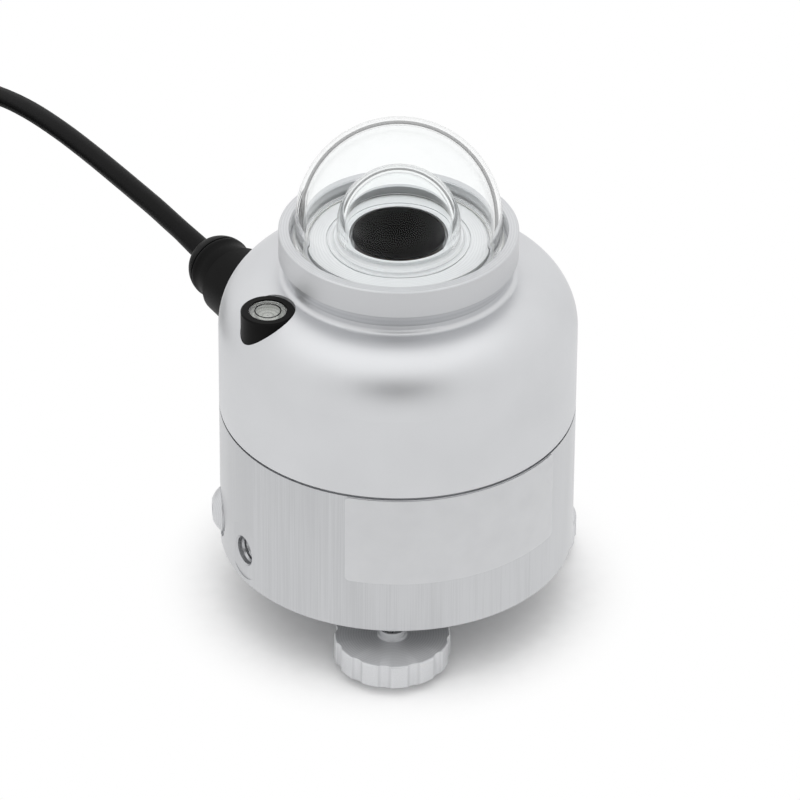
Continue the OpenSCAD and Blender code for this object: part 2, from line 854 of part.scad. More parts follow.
module plug_body() {
    color("dimgray")
    outwards(plug_bearing, plug_axis_z)
    difference() {
        union() {
            translate([0, 0, plug_front_s])
                cylinder(r = plug_collar_r, h = grip_start_s - plug_front_s + over);
            translate([0, 0, grip_start_s]) rotate_extrude()
                polygon([[0, 0], [grip_r - collar_edge, 0], [grip_r, collar_edge],
                    [grip_r, grip_h - collar_edge],
                    [grip_r - collar_edge, grip_h], [0, grip_h]]);
            translate([0, 0, grip_s - over]) cylinder(r = spigot_r, h = spigot_h + over);
        }
        translate([0, 0, plug_front_s - over])
            cylinder(r = insert_r + seat_gap, h = insert_end_s - plug_front_s + over);
        translate([0, 0, insert_end_s - over])
            cylinder(r = plug_cavity_r, h = plug_cavity_end_s - insert_end_s + over);
        translate([0, 0, plug_cavity_end_s - over])
            cylinder(r = cable_r + seat_gap, h = grip_s + spigot_h - plug_cavity_end_s + 2 * over);
        for (i = [0:grip_flute_count - 1])
            rotate([0, 0, i * 360 / grip_flute_count])
                translate([grip_r + grip_flute_r - grip_flute_depth, 0, grip_start_s + 2 * over])
                    cylinder(r = grip_flute_r, h = grip_flute_l, $fn = 24);
    }
}

module plug_insert() {
    color("black")
    outwards(plug_bearing, plug_axis_z)
    difference() {
        translate([0, 0, insert_split_s + 2 * seat_gap])
            cylinder(r = insert_r, h = insert_end_s - insert_split_s - 3 * seat_gap);
        at_pins() translate([0, 0, insert_split_s])
            cylinder(r = pin_r + run_gap, h = pin_end_s - insert_split_s + seat_gap, $fn = small_fn);
    }
}

module plug_seal() {
    color("black")
    outwards(plug_bearing, plug_axis_z)
        translate([0, 0, plug_seal_s]) tube(spigot_r - seat_gap, cable_r + run_gap, plug_seal_h);
}

// Clamp nut with a waist that flares to a domed end, and a fine groove
module plug_nut() {
    waist_r = nut_r - nut_waist;
    color("dimgray")
    outwards(plug_bearing, plug_axis_z)
    difference() {
        union() {
            rotate_extrude()
                polygon([[0, nut_start_s], [waist_r, nut_start_s], [waist_r, nut_collar_s - nut_flare_h],
                    [nut_r, nut_collar_s], [0, nut_collar_s]]);
            translate([0, 0, nut_collar_s]) rotate_extrude() intersection() {
                circle(r = nut_r);
                square(nut_r);
            }
        }
        translate([0, 0, nut_collar_s + nut_groove_lift])
            tube(nut_r + over, nut_r - nut_groove_depth, nut_groove_w);
        translate([0, 0, nut_start_s - over])
            cylinder(r = nut_cavity_r, h = relief_step_s - nut_start_s + over);
        translate([0, 0, relief_step_s - over]) cylinder(r = nut_exit_r, h = nut_end_s);
    }
}

module cable_relief() {
    color("black")
    outwards(plug_bearing, plug_axis_z)
    rotate_extrude()
        polygon([[0, relief_start_s], [cable_r, relief_start_s], [cable_r, relief_step_s],
            [relief_r, relief_step_s], [relief_r, nut_end_s], [cable_r, relief_end_s], [0, relief_end_s]]);
}

function unit(v) = v / norm(v);
// Direction of a path at one of its points
function path_dir(p, i) = unit(p[min(i + 1, len(p) - 1)] - p[max(i - 1, 0)]);
// Ring of points round one point of a path that never stands upright
function ring_at(c, t, r, sides) =
    let (side = unit(cross(t, [0, 0, 1])), up = cross(side, t))
    [for (k = [0:sides - 1]) c + r * (cos(k * 360 / sides) * side + sin(k * 360 / sides) * up)];
// Triangles of a closed tube with a number of rings
function tube_faces(rings, sides) = concat(
    [for (k = [1:sides - 2]) [0, k + 1, k]],
    [for (i = [0:rings - 2], k = [0:sides - 1])
        let (a = i * sides + k, b = i * sides + (k + 1) % sides) [a, b, a + sides]],
    [for (i = [0:rings - 2], k = [0:sides - 1])
        let (a = i * sides + k, b = i * sides + (k + 1) % sides) [b, b + sides, a + sides]],
    [for (k = [1:sides - 2]) let (e = (rings - 1) * sides) [e, e + k, e + k + 1]]);

// Closed tube along a path
module swept_tube(path, r, sides) {
    rings = [for (i = [0:len(path) - 1]) each ring_at(path[i], path_dir(path, i), r, sides)];
    polyhedron(points = rings, faces = tube_faces(len(path), sides));
}

module cable() {
    color("black")
    swept_tube(concat(cable_route, [for (k = [2, 1]) coil_path[0] + k * cable_d * [1, 0, 0]]),
        cable_r, cable_sides);
}

// Distance in turns from the nearest place where the spiral reverses, counted inwards from the rim
function coil_fold(t) = let (u = t - 2 * coil_layer_turns * floor(t / (2 * coil_layer_turns)))
    u <= coil_layer_turns ? u : 2 * coil_layer_turns - u;
function smooth(x) = let (c = min(1, max(0, x))) c * c * (3 - 2 * c);
function coil_radius(t) = coil_out_r - coil_step * coil_fold(t);
function coil_height(t, k = 1) = k >= coil_layers ? 0 :
    coil_layer_h * smooth((t - k * coil_layer_turns) / coil_climb_turns + 0.5) + coil_height(t, k + 1);
function coil_point(t) = let (a = coil_start_angle + 360 * t)
    [coil_x + coil_radius(t) * cos(a), coil_y + coil_radius(t) * sin(a), coil_z + coil_height(t)];
coil_path = [for (i = [0:coil_rings * coil_turns]) coil_point(i / coil_rings)];
// Coil with a straight start, one diameter long, that meets the free cable
coil_tube_path = concat([coil_path[0] + cable_d * [1, 0, 0]], coil_path);
// Least gap between turns, over points at least half a turn apart
coil_gap = min([for (i = [0:2:len(coil_path) - 1], j = [i + coil_rings / 2:2:len(coil_path) - 1])
    norm(coil_path[i] - coil_path[j])]) - cable_d;
echo(least_gap_between_turns_of_the_coil = coil_gap);

module cable_coil() {
    color("black") swept_tube(coil_tube_path, cable_r, coil_sides);
}

// Flat band round the coil's section
module coil_ties() {
    in_edge = coil_in_r - cable_r;
    near_x = sqrt(in_edge * in_edge - tie_w * tie_w / 4) - tie_gap;
    far_x = coil_out_r + cable_r + tie_gap;
    low_z = coil_lift - tie_gap;
    high_z = coil_top_z + tie_gap;
    color("dimgray")
    for (a = tie_angles)
        translate([coil_x, coil_y, 0]) rotate([0, 0, a])
        difference() {
            translate([near_x - tie_t, -tie_w / 2, low_z - tie_t])
                cube([far_x - near_x + 2 * tie_t, tie_w, high_z - low_z + 2 * tie_t]);
            translate([near_x, -tie_w / 2 - over, low_z])
                cube([far_x - near_x, tie_w + 2 * over, high_z - low_z]);
        }
}

// Path of one insulated core, which leaves the cable's end and lies on the coil
coil_end_angle = coil_start_angle + 360 * coil_turns;
core_start_z = coil_point(coil_turns)[2];
core_end_z = coil_top_z + core_r + tie_gap;
// Cores leave the jacket side by side, climb on to the coil's top layer and spread
function core_point(i, x) =
    let (place = i - (core_count - 1) / 2,
        r = coil_radius(coil_turns) - core_shift * smooth(x) + place * (core_pack +
            (core_fan - core_pack) * smooth(x)),
        a = coil_end_angle + (core_l * x + seat_gap) / coil_out_r * 180 / PI)
    [coil_x + r * cos(a), coil_y + r * sin(a), core_start_z + (core_end_z - core_start_z) * smooth(2 * x)];

module cable_cores() {
    shades = ["white", "brown", "green", "yellow"];
    for (i = [0:core_count - 1])
        color(shades[i % len(shades)])
            swept_tube([for (k = [0:core_rings]) core_point(i, k / core_rings)], core_r, core_sides);
}

module core_ferrules() {
    color("silver")
    for (i = [0:core_count - 1]) {
        p = core_point(i, 1);
        t = unit(core_point(i, 1) - core_point(i, 1 - 1 / core_rings));
        translate(p + run_gap * t) rotate([0, 0, atan2(t[1], t[0])]) rotate([0, 90, 0])
            cylinder(r = ferrule_r, h = ferrule_l, $fn = 24);
    }
}

// Hand wheel with scalloped rim and a boss that carries the screw
module hand_wheel() {
    difference() {
        rotate_extrude()
            polygon([[0, pad_h], [wheel_r - wheel_chamfer, pad_h], [wheel_r, pad_h + wheel_chamfer],
                [wheel_r, pad_h + wheel_t - wheel_chamfer], [wheel_r - wheel_chamfer, pad_h + wheel_t],
                [wheel_boss_r, pad_h + wheel_t], [wheel_boss_r, pad_h + wheel_t + wheel_boss_h],
                [0, pad_h + wheel_t + wheel_boss_h]]);
        cylinder(r = stud_r + run_gap, h = base_z, $fn = small_fn);
        for (i = [0:flute_count - 1])
            rotate([0, 0, flute_phase + i * 360 / flute_count])
                translate([wheel_r + flute_r - flute_depth, 0, 0])
                    cylinder(r = flute_r, h = base_z, $fn = small_fn);
    }
}

module levelling_screw() {
    translate([0, 0, stud_tip_z]) cylinder(r = stud_r, h = base_z + stud_grip - stud_tip_z, $fn = small_fn);
}

// Foot pad with a socket in which the screw's tip turns
module foot_pad() {
    difference() {
        rotate_extrude()
            polygon([[0, 0], [pad_d / 2, 0], [pad_d / 2, pad_bevel],
                [pad_d / 2 - pad_bevel, pad_h - seat_gap],
                [0, pad_h - seat_gap]]);
        translate([0, 0, stud_tip_z - seat_gap]) cylinder(r = stud_r + run_gap, h = pad_h, $fn = small_fn);
    }
}

module at_foot(i) {
    at_bearing(foot_bearing + i * foot_spacing, foot_reach, 0) children();
}

module foot_1_wheel() { color("silver") at_foot(0) hand_wheel(); }
module foot_1_screw() { color("lightgray") at_foot(0) levelling_screw(); }
module foot_1_pad() { color("black") at_foot(0) foot_pad(); }
module foot_2_wheel() { color("silver") at_foot(1) hand_wheel(); }
module foot_2_screw() { color("lightgray") at_foot(1) levelling_screw(); }
module foot_2_pad() { color("black") at_foot(1) foot_pad(); }

// Foot of fixed height, screwed into the base
module fixed_foot() {
    color("silver")
    at_foot(2)
    rotate_extrude($fn = small_fn)
        polygon([[0, pad_h], [pad_d / 2 - pad_bevel, pad_h], [fixed_post_r, pad_h + 2 * pad_bevel],
            [fixed_post_r, base_z], [stud_r, base_z], [stud_r, base_z + fixed_spigot_h],
            [0, base_z + fixed_spigot_h]]);
}

module fixed_foot_pad() {
    color("black")
    at_foot(2)
    rotate_extrude($fn = small_fn)
        polygon([[0, 0], [pad_d / 2, 0], [pad_d / 2, pad_h - pad_bevel],
            [pad_d / 2 - pad_bevel, pad_h], [0, pad_h]]);
}

// Plug that closes a side hole: thread, button head with a hex socket, and a recess for its seal
module side_plug() {
    head_r = plug_head_d / 2;
    head_s = plug_spot_s + run_gap;
    crown_h = plug_head_h - plug_rim_h;
    crown_drop = (head_r * head_r - plug_face_r * plug_face_r - crown_h * crown_h) / (2 * crown_h);
    color("silver")
    outwards(side_plug_bearing, side_z)
    difference() {
        union() {
            translate([0, 0, plug_spot_s - plug_thread_h])
                cylinder(d = plug_thread_d, h = plug_thread_h + plug_head_h / 2, $fn = small_fn);
            translate([0, 0, head_s])
            difference() {
                rotate_extrude($fn = small_fn) intersection() {
                    translate([0, plug_rim_h - crown_drop]) circle(r = norm([head_r, crown_drop]));
                    square([head_r, plug_head_h]);
                }
                translate([0, 0, -over])
                    tube(plug_seal_r + run_gap, plug_thread_d / 2, plug_seal_t + seat_gap + over);
            }
        }
        translate([0, 0, head_s + plug_head_h - plug_socket_depth])
            cylinder(d = plug_socket_d, h = plug_socket_depth + over, $fn = 6);
    }
}

module side_plug_seal() {
    color("black")
    outwards(side_plug_bearing, side_z)
        translate([0, 0, plug_spot_s]) tube(plug_seal_r, plug_thread_d / 2 + run_gap, plug_seal_t);
}

module terminal_board() {
    color("darkgreen")
    difference() {
        translate([0, 0, board_z]) cylinder(r = board_r, h = board_t);
        at_board_posts()
            translate([0, 0, board_z - over])
                cylinder(d = board_screw_d + 2 * seat_gap, h = board_t + 2 * over, $fn = small_fn);
    }
}

// Row of screw terminals on the board
module terminal_block() {
    color("seagreen")
    translate([0, block_y, board_z + board_t])
    difference() {
        translate([-block_l / 2, -block_w / 2, 0]) cube([block_l, block_w, block_h]);
        for (i = [0:block_ways - 1]) {
            x = (i - (block_ways - 1) / 2) * block_pitch;
            translate([x, 0, block_h / 2]) cylinder(d = block_hole_d, h = block_h, $fn = small_fn);
            translate([x, -block_w / 2 - over, block_h / 4]) rotate([-90, 0, 0])
                cylinder(d = block_hole_d, h = over + block_w / 3, $fn = small_fn);
        }
    }
}

module board_posts() {
    color("lightgray")
    at_board_posts()
        translate([0, 0, base_floor_z])
            tube(board_post_r, board_screw_d / 2 + seat_gap, board_post_h);
}

module board_screws() {
    color("lightgray")
    at_board_posts()
        translate([0, 0, board_z + board_t]) mirror([0, 0, 1])
            cap_screw(board_screw_d, board_t + board_post_h + board_post_h - over,
                board_screw_head_d, board_screw_head_h);
}

// Round bag of drying beads, fuller in the middle than at its rim
module desiccant_bag() {
    rim_h = bag_h / 3;
    color("white")
    translate([0, bag_y, board_z + board_t + bag_lift])
    rotate_extrude()
        polygon([[0, 0], [bag_r * bag_flat_share, 0], [bag_r * bag_side_share, rim_h / 2], [bag_r, rim_h],
            [bag_r * bag_side_share, 2 * rim_h],
            [bag_r * bag_flat_share, bag_h - rim_h / 4], [0, bag_h]]);
}

// Thin blank film on the front of the base
module label_film() {
    color("whitesmoke")
    translate([0, 0, seam_z - film_drop - film_h]) rotate([0, 0, film_start])
        rotate_extrude(angle = film_angle) translate([body_r, 0]) square([film_t, film_h]);
}

base_housing();
cap_housing();
housing_seal();
housing_screws();
dome_collar();
collar_seal();
outer_dome();
outer_dome_bond();
inner_dome();
inner_dome_seat();
sensor_deck();
sensor_disc();
thermopile();
sensor_body();
sensor_screws();
level_cup();
level_dial();
level_liquid();
level_bubble();
level_glass();
level_target();
connector_socket();
connector_seal();
socket_insert();
contact_pins();
coupling_ring();
plug_body();
plug_insert();
plug_seal();
plug_nut();
cable_relief();
cable();
cable_coil();
coil_ties();
cable_cores();
core_ferrules();
foot_1_wheel();
foot_1_screw();
foot_1_pad();
foot_2_wheel();
foot_2_screw();
foot_2_pad();
fixed_foot();
fixed_foot_pad();
side_plug();
side_plug_seal();
terminal_board();
terminal_block();
board_screws();
board_posts();
desiccant_bag();
label_film();
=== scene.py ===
# Pyranometer: two glass domes on a round aluminium housing, with a bubble level, levelling feet
# and a plugged-on signal cable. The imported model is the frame, and this script dresses it.
import json
import math

import bpy
from mathutils import Matrix, Vector


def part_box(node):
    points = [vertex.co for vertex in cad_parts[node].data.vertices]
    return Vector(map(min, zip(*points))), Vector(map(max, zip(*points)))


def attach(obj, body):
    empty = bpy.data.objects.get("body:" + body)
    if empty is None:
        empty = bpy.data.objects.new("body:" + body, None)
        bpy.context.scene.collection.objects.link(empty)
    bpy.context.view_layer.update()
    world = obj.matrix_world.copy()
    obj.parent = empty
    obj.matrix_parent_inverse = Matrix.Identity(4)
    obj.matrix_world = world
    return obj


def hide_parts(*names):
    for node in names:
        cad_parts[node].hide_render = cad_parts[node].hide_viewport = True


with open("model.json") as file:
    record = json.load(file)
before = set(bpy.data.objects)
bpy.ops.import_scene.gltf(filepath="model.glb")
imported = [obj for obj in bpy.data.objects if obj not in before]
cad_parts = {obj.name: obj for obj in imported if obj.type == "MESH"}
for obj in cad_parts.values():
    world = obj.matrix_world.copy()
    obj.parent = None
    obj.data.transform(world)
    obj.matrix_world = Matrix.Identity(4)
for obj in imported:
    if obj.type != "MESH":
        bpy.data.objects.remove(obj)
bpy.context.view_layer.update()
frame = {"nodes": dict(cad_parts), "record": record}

bl_info = {
    "name": "Pyranometer",
    "version": (1, 0, 0),
    "blender": (4, 5, 0),
    "location": "3D View > Sidebar > Pyranometer",
    "description": "Dresses the packed model of a pyranometer and sets its stage",
    "category": "Object",
}

MM = 0.001

# Heights and radii that the frame gives
BODY_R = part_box("base_housing")[1].x
BASE_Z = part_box("base_housing")[0].z
SEAM_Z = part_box("base_housing")[1].z
DOME_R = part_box("outer_dome")[1].x
DOME_FOOT_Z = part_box("outer_dome")[0].z
DOME_TOP_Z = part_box("outer_dome")[1].z
SMALL_DOME_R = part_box("inner_dome")[1].x
SMALL_DOME_FOOT_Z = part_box("inner_dome")[0].z
SMALL_DOME_TOP_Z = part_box("inner_dome")[1].z
DOME_WALL = 2 * MM

# Where the level and the feet stand
LEVEL_PLACE = (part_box("level_dial")[0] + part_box("level_dial")[1]) / 2
FOOT_BEARINGS = {1: math.radians(-91.5), 2: math.radians(28.5)}

# A hand wheel with its boss and flutes, and its screw
WHEEL_R = 14.15 * MM
WHEEL_SLOPE = 0.35 * MM
WHEEL_EDGE = 0.1 * MM
BOSS_R = 3.4 * MM
BOSS_H = 2.2 * MM
BOSS_FILLET = 0.35 * MM
FLUTES = 12
FLUTE_R = 3 * MM
FLUTE_DEPTH = 0.7 * MM
FLUTE_PHASE = math.radians(-6)
SCREW_R = 3 * MM
PITCH = 1 * MM
THREAD_DEPTH = 0.35 * MM
THREAD_PLAY = 0.02 * MM
THREAD_FROM = 0.2 * MM

# The blank film on the base, from its first end round to its second
FILM_T = 0.12 * MM
FILM_FROM = math.radians(-106.5)
FILM_SWEEP = math.radians(76)
FILM_STEPS = 48
FILM_CORNER = 1.1 * MM

# The threaded side hole: where it lies, its wall and the ridges that stand out of it
HOLE_BEARING = math.radians(-149.2)
HOLE_Z = BASE_Z + 8.8 * MM
HOLE_MOUTH = 43.0 * MM
HOLE_DEPTH = 7.6 * MM
HOLE_R = 3.42 * MM
HOLE_CREST_R = 3.1 * MM
HOLE_PITCH = 1.25 * MM
HOLE_FROM = 0.3 * MM
HOLE_SINK = 0.05 * MM

# Gaps that keep the level's window, spirit and bubble apart, and their round edge
LEVEL_PLAY = 0.04 * MM
LEVEL_HEADROOM = 0.02 * MM
LEVEL_EDGE = 0.15 * MM
WINDOW_LIFT = 0.04 * MM
SPIRIT_LIFT = 0.08 * MM
BUBBLE_SINK = 0.05 * MM

# Points closer than this in a turned or swept piece are one
MERGE = 0.002 * MM
# The share of its mirror image that the coated dome glass keeps
COATED = 0.1

# The connector's axis runs outwards along this bearing, measured from +X towards +Y
PLUG_BEARING = math.radians(121)
PLUG_Z = SEAM_Z - 10.3 * MM

# The coupling ring and the cable nut: stations along that axis from the housing's axis, and radii
RING_FROM = 45.87 * MM
RING_STEP = 57.77 * MM
RING_TO = 61.17 * MM
RING_R = 9.3 * MM
RING_WIDE_R = 7.3 * MM
RING_BORE_R = 6.0 * MM
RING_GROOVES = 18
RING_GROOVE_R = 0.9 * MM
RING_GROOVE_OUT = 0.5 * MM
RING_GROOVE_FROM = 1.2 * MM
RING_EDGE = 0.3 * MM
NUT_FROM = 81.27 * MM
NUT_RIM = 87.67 * MM
NUT_STEP = 89.67 * MM
NUT_R = 8.3 * MM
NUT_WAIST = 0.5 * MM
NUT_FLARE = 1.7 * MM
NUT_LIP = 0.6 * MM
NUT_HOLLOW_R = 6 * MM
NUT_CAVITY_R = 6.4 * MM
NUT_EXIT_R = 3.0 * MM
NUT_GROOVE_FROM = 0.7 * MM
NUT_GROOVE_TO = 1.1 * MM
NUT_GROOVE_DEPTH = 0.3 * MM
NUT_EDGE = 0.12 * MM

# The cable: its thickness and the route of its free part, in metres
CABLE_D = 5.3 * MM
CABLE_ROUTE = [
    (-0.05564, 0.0926, 0.0442), (-0.0588, 0.0978, 0.0441), (-0.0629, 0.1047, 0.0439),
    (-0.0681, 0.1133, 0.0434), (-0.0743, 0.1236, 0.0427), (-0.0815, 0.1356, 0.0417),
    (-0.0897, 0.1492, 0.0401), (-0.0988, 0.1642, 0.0373), (-0.1076, 0.1782, 0.0332),
    (-0.1168, 0.1914, 0.0276), (-0.127, 0.2045, 0.0208), (-0.1375, 0.2135, 0.013),
    (-0.1475, 0.2189, 0.0076), (-0.156, 0.2208, 0.0046),
]
# The coil beside the instrument: layers that wind in and out, one on another
COIL_CENTRE = Vector((-0.172, 0.16804, 0))
COIL_LIFT = 1.25 * MM
COIL_MEAN_R = 38.5 * MM
COIL_STEP = 5.9 * MM
COIL_LAYER_H = 5.9 * MM
COIL_LAYERS = 4
COIL_LAYER_TURNS = 4.8
COIL_START = math.radians(90)
COIL_CLIMB_TURNS = 0.5
COIL_RINGS = 48
COIL_TURNS = COIL_LAYERS * COIL_LAYER_TURNS
COIL_OUT_R = COIL_MEAN_R + COIL_STEP * COIL_LAYER_TURNS / 2
COIL_IN_R = COIL_MEAN_R - COIL_STEP * COIL_LAYER_TURNS / 2
COIL_Z = COIL_LIFT + CABLE_D / 2
COIL_TOP_Z = COIL_Z + COIL_LAYER_H * (COIL_LAYERS - 1) + CABLE_D / 2
# The straps round the coil, and the four wires that fan out at the cable's end
TIE_W = 9 * MM
TIE_T = 1 * MM
TIE_GAP = 0.25 * MM
TIE_ANGLES = (10, 130, 250)
CORE_R = 0.5 * MM
CORE_L = 34 * MM
CORE_FAN = 2.2 * MM
CORE_PACK = 1.1 * MM
CORE_SHIFT = 6 * MM
CORE_GAP = 0.1 * MM
CORE_STEPS = 24
WIRES = (("white", "core_plastic"), ("brown", "core_brown"),
         ("green", "core_green"), ("yellow", "core_yellow"))


def srgb(code):
    """Linear red, green, blue and alpha of an sRGB hex code."""
    parts = [int(code[i:i + 2], 16) / 255 for i in (0, 2, 4)]
    return (*[c / 12.92 if c <= 0.04045 else ((c + 0.055) / 1.055) ** 2.4 for c in parts], 1.0)


def add(tree, kind, sockets, **settings):
    """Adds a shader node with its settings, its values and its links."""
    made = tree.nodes.new("ShaderNode" + kind)
    for name, value in settings.items():
        setattr(made, name, value)
    for name, value in sockets.items():
        if isinstance(value, bpy.types.NodeSocket):
            tree.links.new(value, made.inputs[name])
        else:
            made.inputs[name].default_value = value
    return made


def new_finish(name):
    """An empty finish, its node tree and its Object coordinates."""
    finish = bpy.data.materials.new(name)
    finish.use_nodes = True
    tree = finish.node_tree
    tree.nodes.clear()
    return finish, tree, add(tree, "TexCoord", {}).outputs["Object"]


def close_finish(tree, sockets):
    """Puts the shader with these sockets on the surface."""
    shader = add(tree, "BsdfPrincipled", sockets)
    add(tree, "OutputMaterial", {"Surface": shader.outputs["BSDF"]})


def close_patterned(tree, tone, light, dark, fine, rough, height, strength, tones=(0.3, 0.7),
                    fines=(0.3, 0.7), relief=None, extra=None):
    """Puts on a surface whose colour goes from dark to light with the pattern tone, and its roughness with
    the pattern fine. Fine, or relief where that is given, also raises it by a real height in metres."""
    share = add(tree, "MapRange", {"Value": tone, "From Min": tones[0], "From Max": tones[1]})
    # The Mix node's colours are its sockets 6 and 7, and its result is output 2
    colour = add(tree, "Mix", {"Factor": share.outputs["Result"], 6: srgb(dark), 7: srgb(light)},
                 data_type="RGBA")
    dull = add(tree, "MapRange", {"Value": fine, "From Min": fines[0], "From Max": fines[1],
                                  "To Min": rough[0], "To Max": rough[1]})
    raised = fine if relief is None else relief
    bump = add(tree, "Bump", {"Height": raised, "Distance": height, "Strength": strength})
    close_finish(tree, {
        "Base Color": colour.outputs[2],
        "Roughness": dull.outputs["Result"],
        "Normal": bump.outputs["Normal"],
        **(extra or {}),
    })


def anodised_base_painted_sheen(look):
    """Anodised aluminium with fine upright lines that spread the shine sideways through its roughness; their
    lighter colour is painted streaks of sheen.
    """
    finish, tree, place = new_finish("anodised_base_painted_sheen")
    upright = add(tree, "Mapping", {"Vector": place, "Scale": (1, 1, 0.012)}).outputs["Vector"]
    sockets = {"Vector": upright, "Scale": 1 / (0.35 * MM), "Detail": 3.0}
    lines = add(tree, "TexNoise", sockets).outputs["Fac"]
    longer = add(tree, "Mapping", {"Vector": place, "Scale": (1, 1, 0.15)}).outputs["Vector"]
    sockets = {"Vector": longer, "Scale": 1 / (14 * MM), "Detail": 2.0}
    broad = add(tree, "TexNoise", sockets).outputs["Fac"]
    both = add(tree, "Math", {0: lines, 1: broad}, operation="ADD").outputs["Value"]
    # The light tone along the upright lines is painted streaks of sheen; the same lines also vary the
    # roughness
    close_patterned(tree, both, look.base_sheen_streak, look.base_dark, lines, (0.30, 0.44), 0.006 * MM, 0.6,
                    (0.85, 1.15), extra={"Metallic": 1.0})
    return finish


def blasted_anodised_cap(look):
    """Aluminium blasted with fine beads and anodised: an even silk with no lines."""
    finish, tree, place = new_finish("blasted_anodised_cap")
    sockets = {"Vector": place, "Scale": 1 / (0.18 * MM), "Detail": 3.0}
    beads = add(tree, "TexNoise", sockets).outputs["Fac"]
    sockets = {"Vector": place, "Scale": 1 / (18 * MM), "Detail": 2.0}
    broad = add(tree, "TexNoise", sockets).outputs["Fac"]
    close_patterned(tree, broad, look.cap_light, look.cap_dark, beads, (0.40, 0.50), 0.006 * MM, 0.5,
                    extra={"Metallic": 1.0})
    return finish


def turned_anodised(name, light, dark, centre=(0, 0, 0), rough=(0.30, 0.40), metal=1.0):
    """Aluminium turned on a lathe and anodised: faint rings round the piece's own axis."""
    finish, tree, place = new_finish(name)
    moved = add(tree, "Mapping", {"Vector": place, "Location": [-c for c in centre]}).outputs["Vector"]
    sockets = {"Vector": moved, "Scale": 1 / (2 * MM), "Distortion": 0.3, "Detail": 1.0}
    rings = add(tree, "TexWave", sockets, wave_type="RINGS", rings_direction="Z").outputs["Fac"]
    sockets = {"Vector": place, "Scale": 1 / (0.2 * MM), "Detail": 2.0}
    fine = add(tree, "TexNoise", sockets).outputs["Fac"]
    both = add(tree, "Math", {0: rings, 1: fine}, operation="MULTIPLY").outputs["Value"]
    close_patterned(tree, both, light, dark, fine, rough, 0.004 * MM, 0.5, (0.0, 0.7), relief=both,
                    extra={"Metallic": metal})
    return finish


def plain_steel(name, light, dark, rough=(0.22, 0.36)):
    """Stainless steel as drawn or turned: cooler and darker than the anodised parts."""
    finish, tree, place = new_finish(name)
    drawn = add(tree, "Mapping", {"Vector": place, "Scale": (1, 1, 0.3)}).outputs["Vector"]
    sockets = {"Vector": drawn, "Scale": 1 / (0.5 * MM), "Detail": 3.0}
    marks = add(tree, "TexNoise", sockets).outputs["Fac"]
    close_patterned(tree, marks, light, dark, marks, rough, 0.004 * MM, 0.4, extra={"Metallic": 1.0})
    return finish


def gold_plate():
    """Gold plate on the contacts: warm and smooth, with faint wiping marks."""
    finish, tree, place = new_finish("gold_plate")
    sockets = {"Vector": place, "Scale": 1 / (0.3 * MM), "Detail": 2.0}
    marks = add(tree, "TexNoise", sockets).outputs["Fac"]
    close_patterned(tree, marks, "E8C273", "D2A550", marks, (0.18, 0.28), 0.002 * MM, 0.3,
                    extra={"Metallic": 1.0})
    return finish


def clear(name, colour, ior, size, rough, detail=1.0, start=0.3, end=0.7, extra=None):
    """Clear stuff that light passes: faint waves or dust on its skin soften what is seen through it."""
    finish, tree, place = new_finish(name)
    waves = add(tree, "TexNoise", {"Vector": place, "Scale": 1 / size, "Detail": detail}).outputs["Fac"]
    haze = {"Value": waves, "From Min": start, "From Max": end, "To Min": rough[0], "To Max": rough[1]}
    close_finish(tree, {
        "Base Color": srgb(colour),
        "Roughness": add(tree, "MapRange", haze).outputs["Result"],
        "IOR": ior,
        "Transmission Weight": 1.0,
        **(extra or {}),
    })
    return finish


def moulded(name, light, dark, grain_size, rough, depth=0.008 * MM, extra=None):
    """Moulded or painted stuff: a fine even texture, a little lighter where it is worn."""
    finish, tree, place = new_finish(name)
    sockets = {"Vector": place, "Scale": 1 / grain_size, "Detail": 3.0}
    texture = add(tree, "TexNoise", sockets).outputs["Fac"]
    sockets = {"Vector": place, "Scale": 1 / (30 * grain_size), "Detail": 2.0}
    broad = add(tree, "TexNoise", sockets).outputs["Fac"]
    close_patterned(tree, broad, light, dark, texture, rough, depth, 0.6, extra=extra)
    return finish


def level_dial_paint(centre):
    """The level's dial: pale paint over fine turned rings that show through it."""
    finish, tree, place = new_finish("level_dial_paint")
    moved = add(tree, "Mapping", {"Vector": place, "Location": [-c for c in centre]}).outputs["Vector"]
    sockets = {"Vector": moved, "Scale": 1 / (4.2 * MM), "Detail": 0.0}
    rings = add(tree, "TexWave", sockets, wave_type="RINGS", rings_direction="Z").outputs["Fac"]
    close_patterned(tree, rings, "C9CAC8", "9C9D9C", rings, (0.5, 0.65), 0.01 * MM, 0.5, (0.0, 0.6))
    return finish


def woven_bag():
    """Woven non-shedding cloth of the drying bag: a plain weave of threads 0.6 mm apart."""
    finish, tree, place = new_finish("woven_bag")
    sockets = {"Vector": place, "Scale": 1 / (2 * MM)}
    warp = add(tree, "TexWave", sockets, bands_direction="X").outputs["Fac"]
    weft = add(tree, "TexWave", sockets, bands_direction="Y").outputs["Fac"]
    weave = add(tree, "Math", {0: warp, 1: weft}, operation="MULTIPLY").outputs["Value"]
    close_patterned(tree, weave, "F0EEE4", "CFCBBC", weave, (0.75, 0.9), 0.05 * MM, 0.8, (0.0, 1.0),
                    (0.0, 1.0))
    return finish


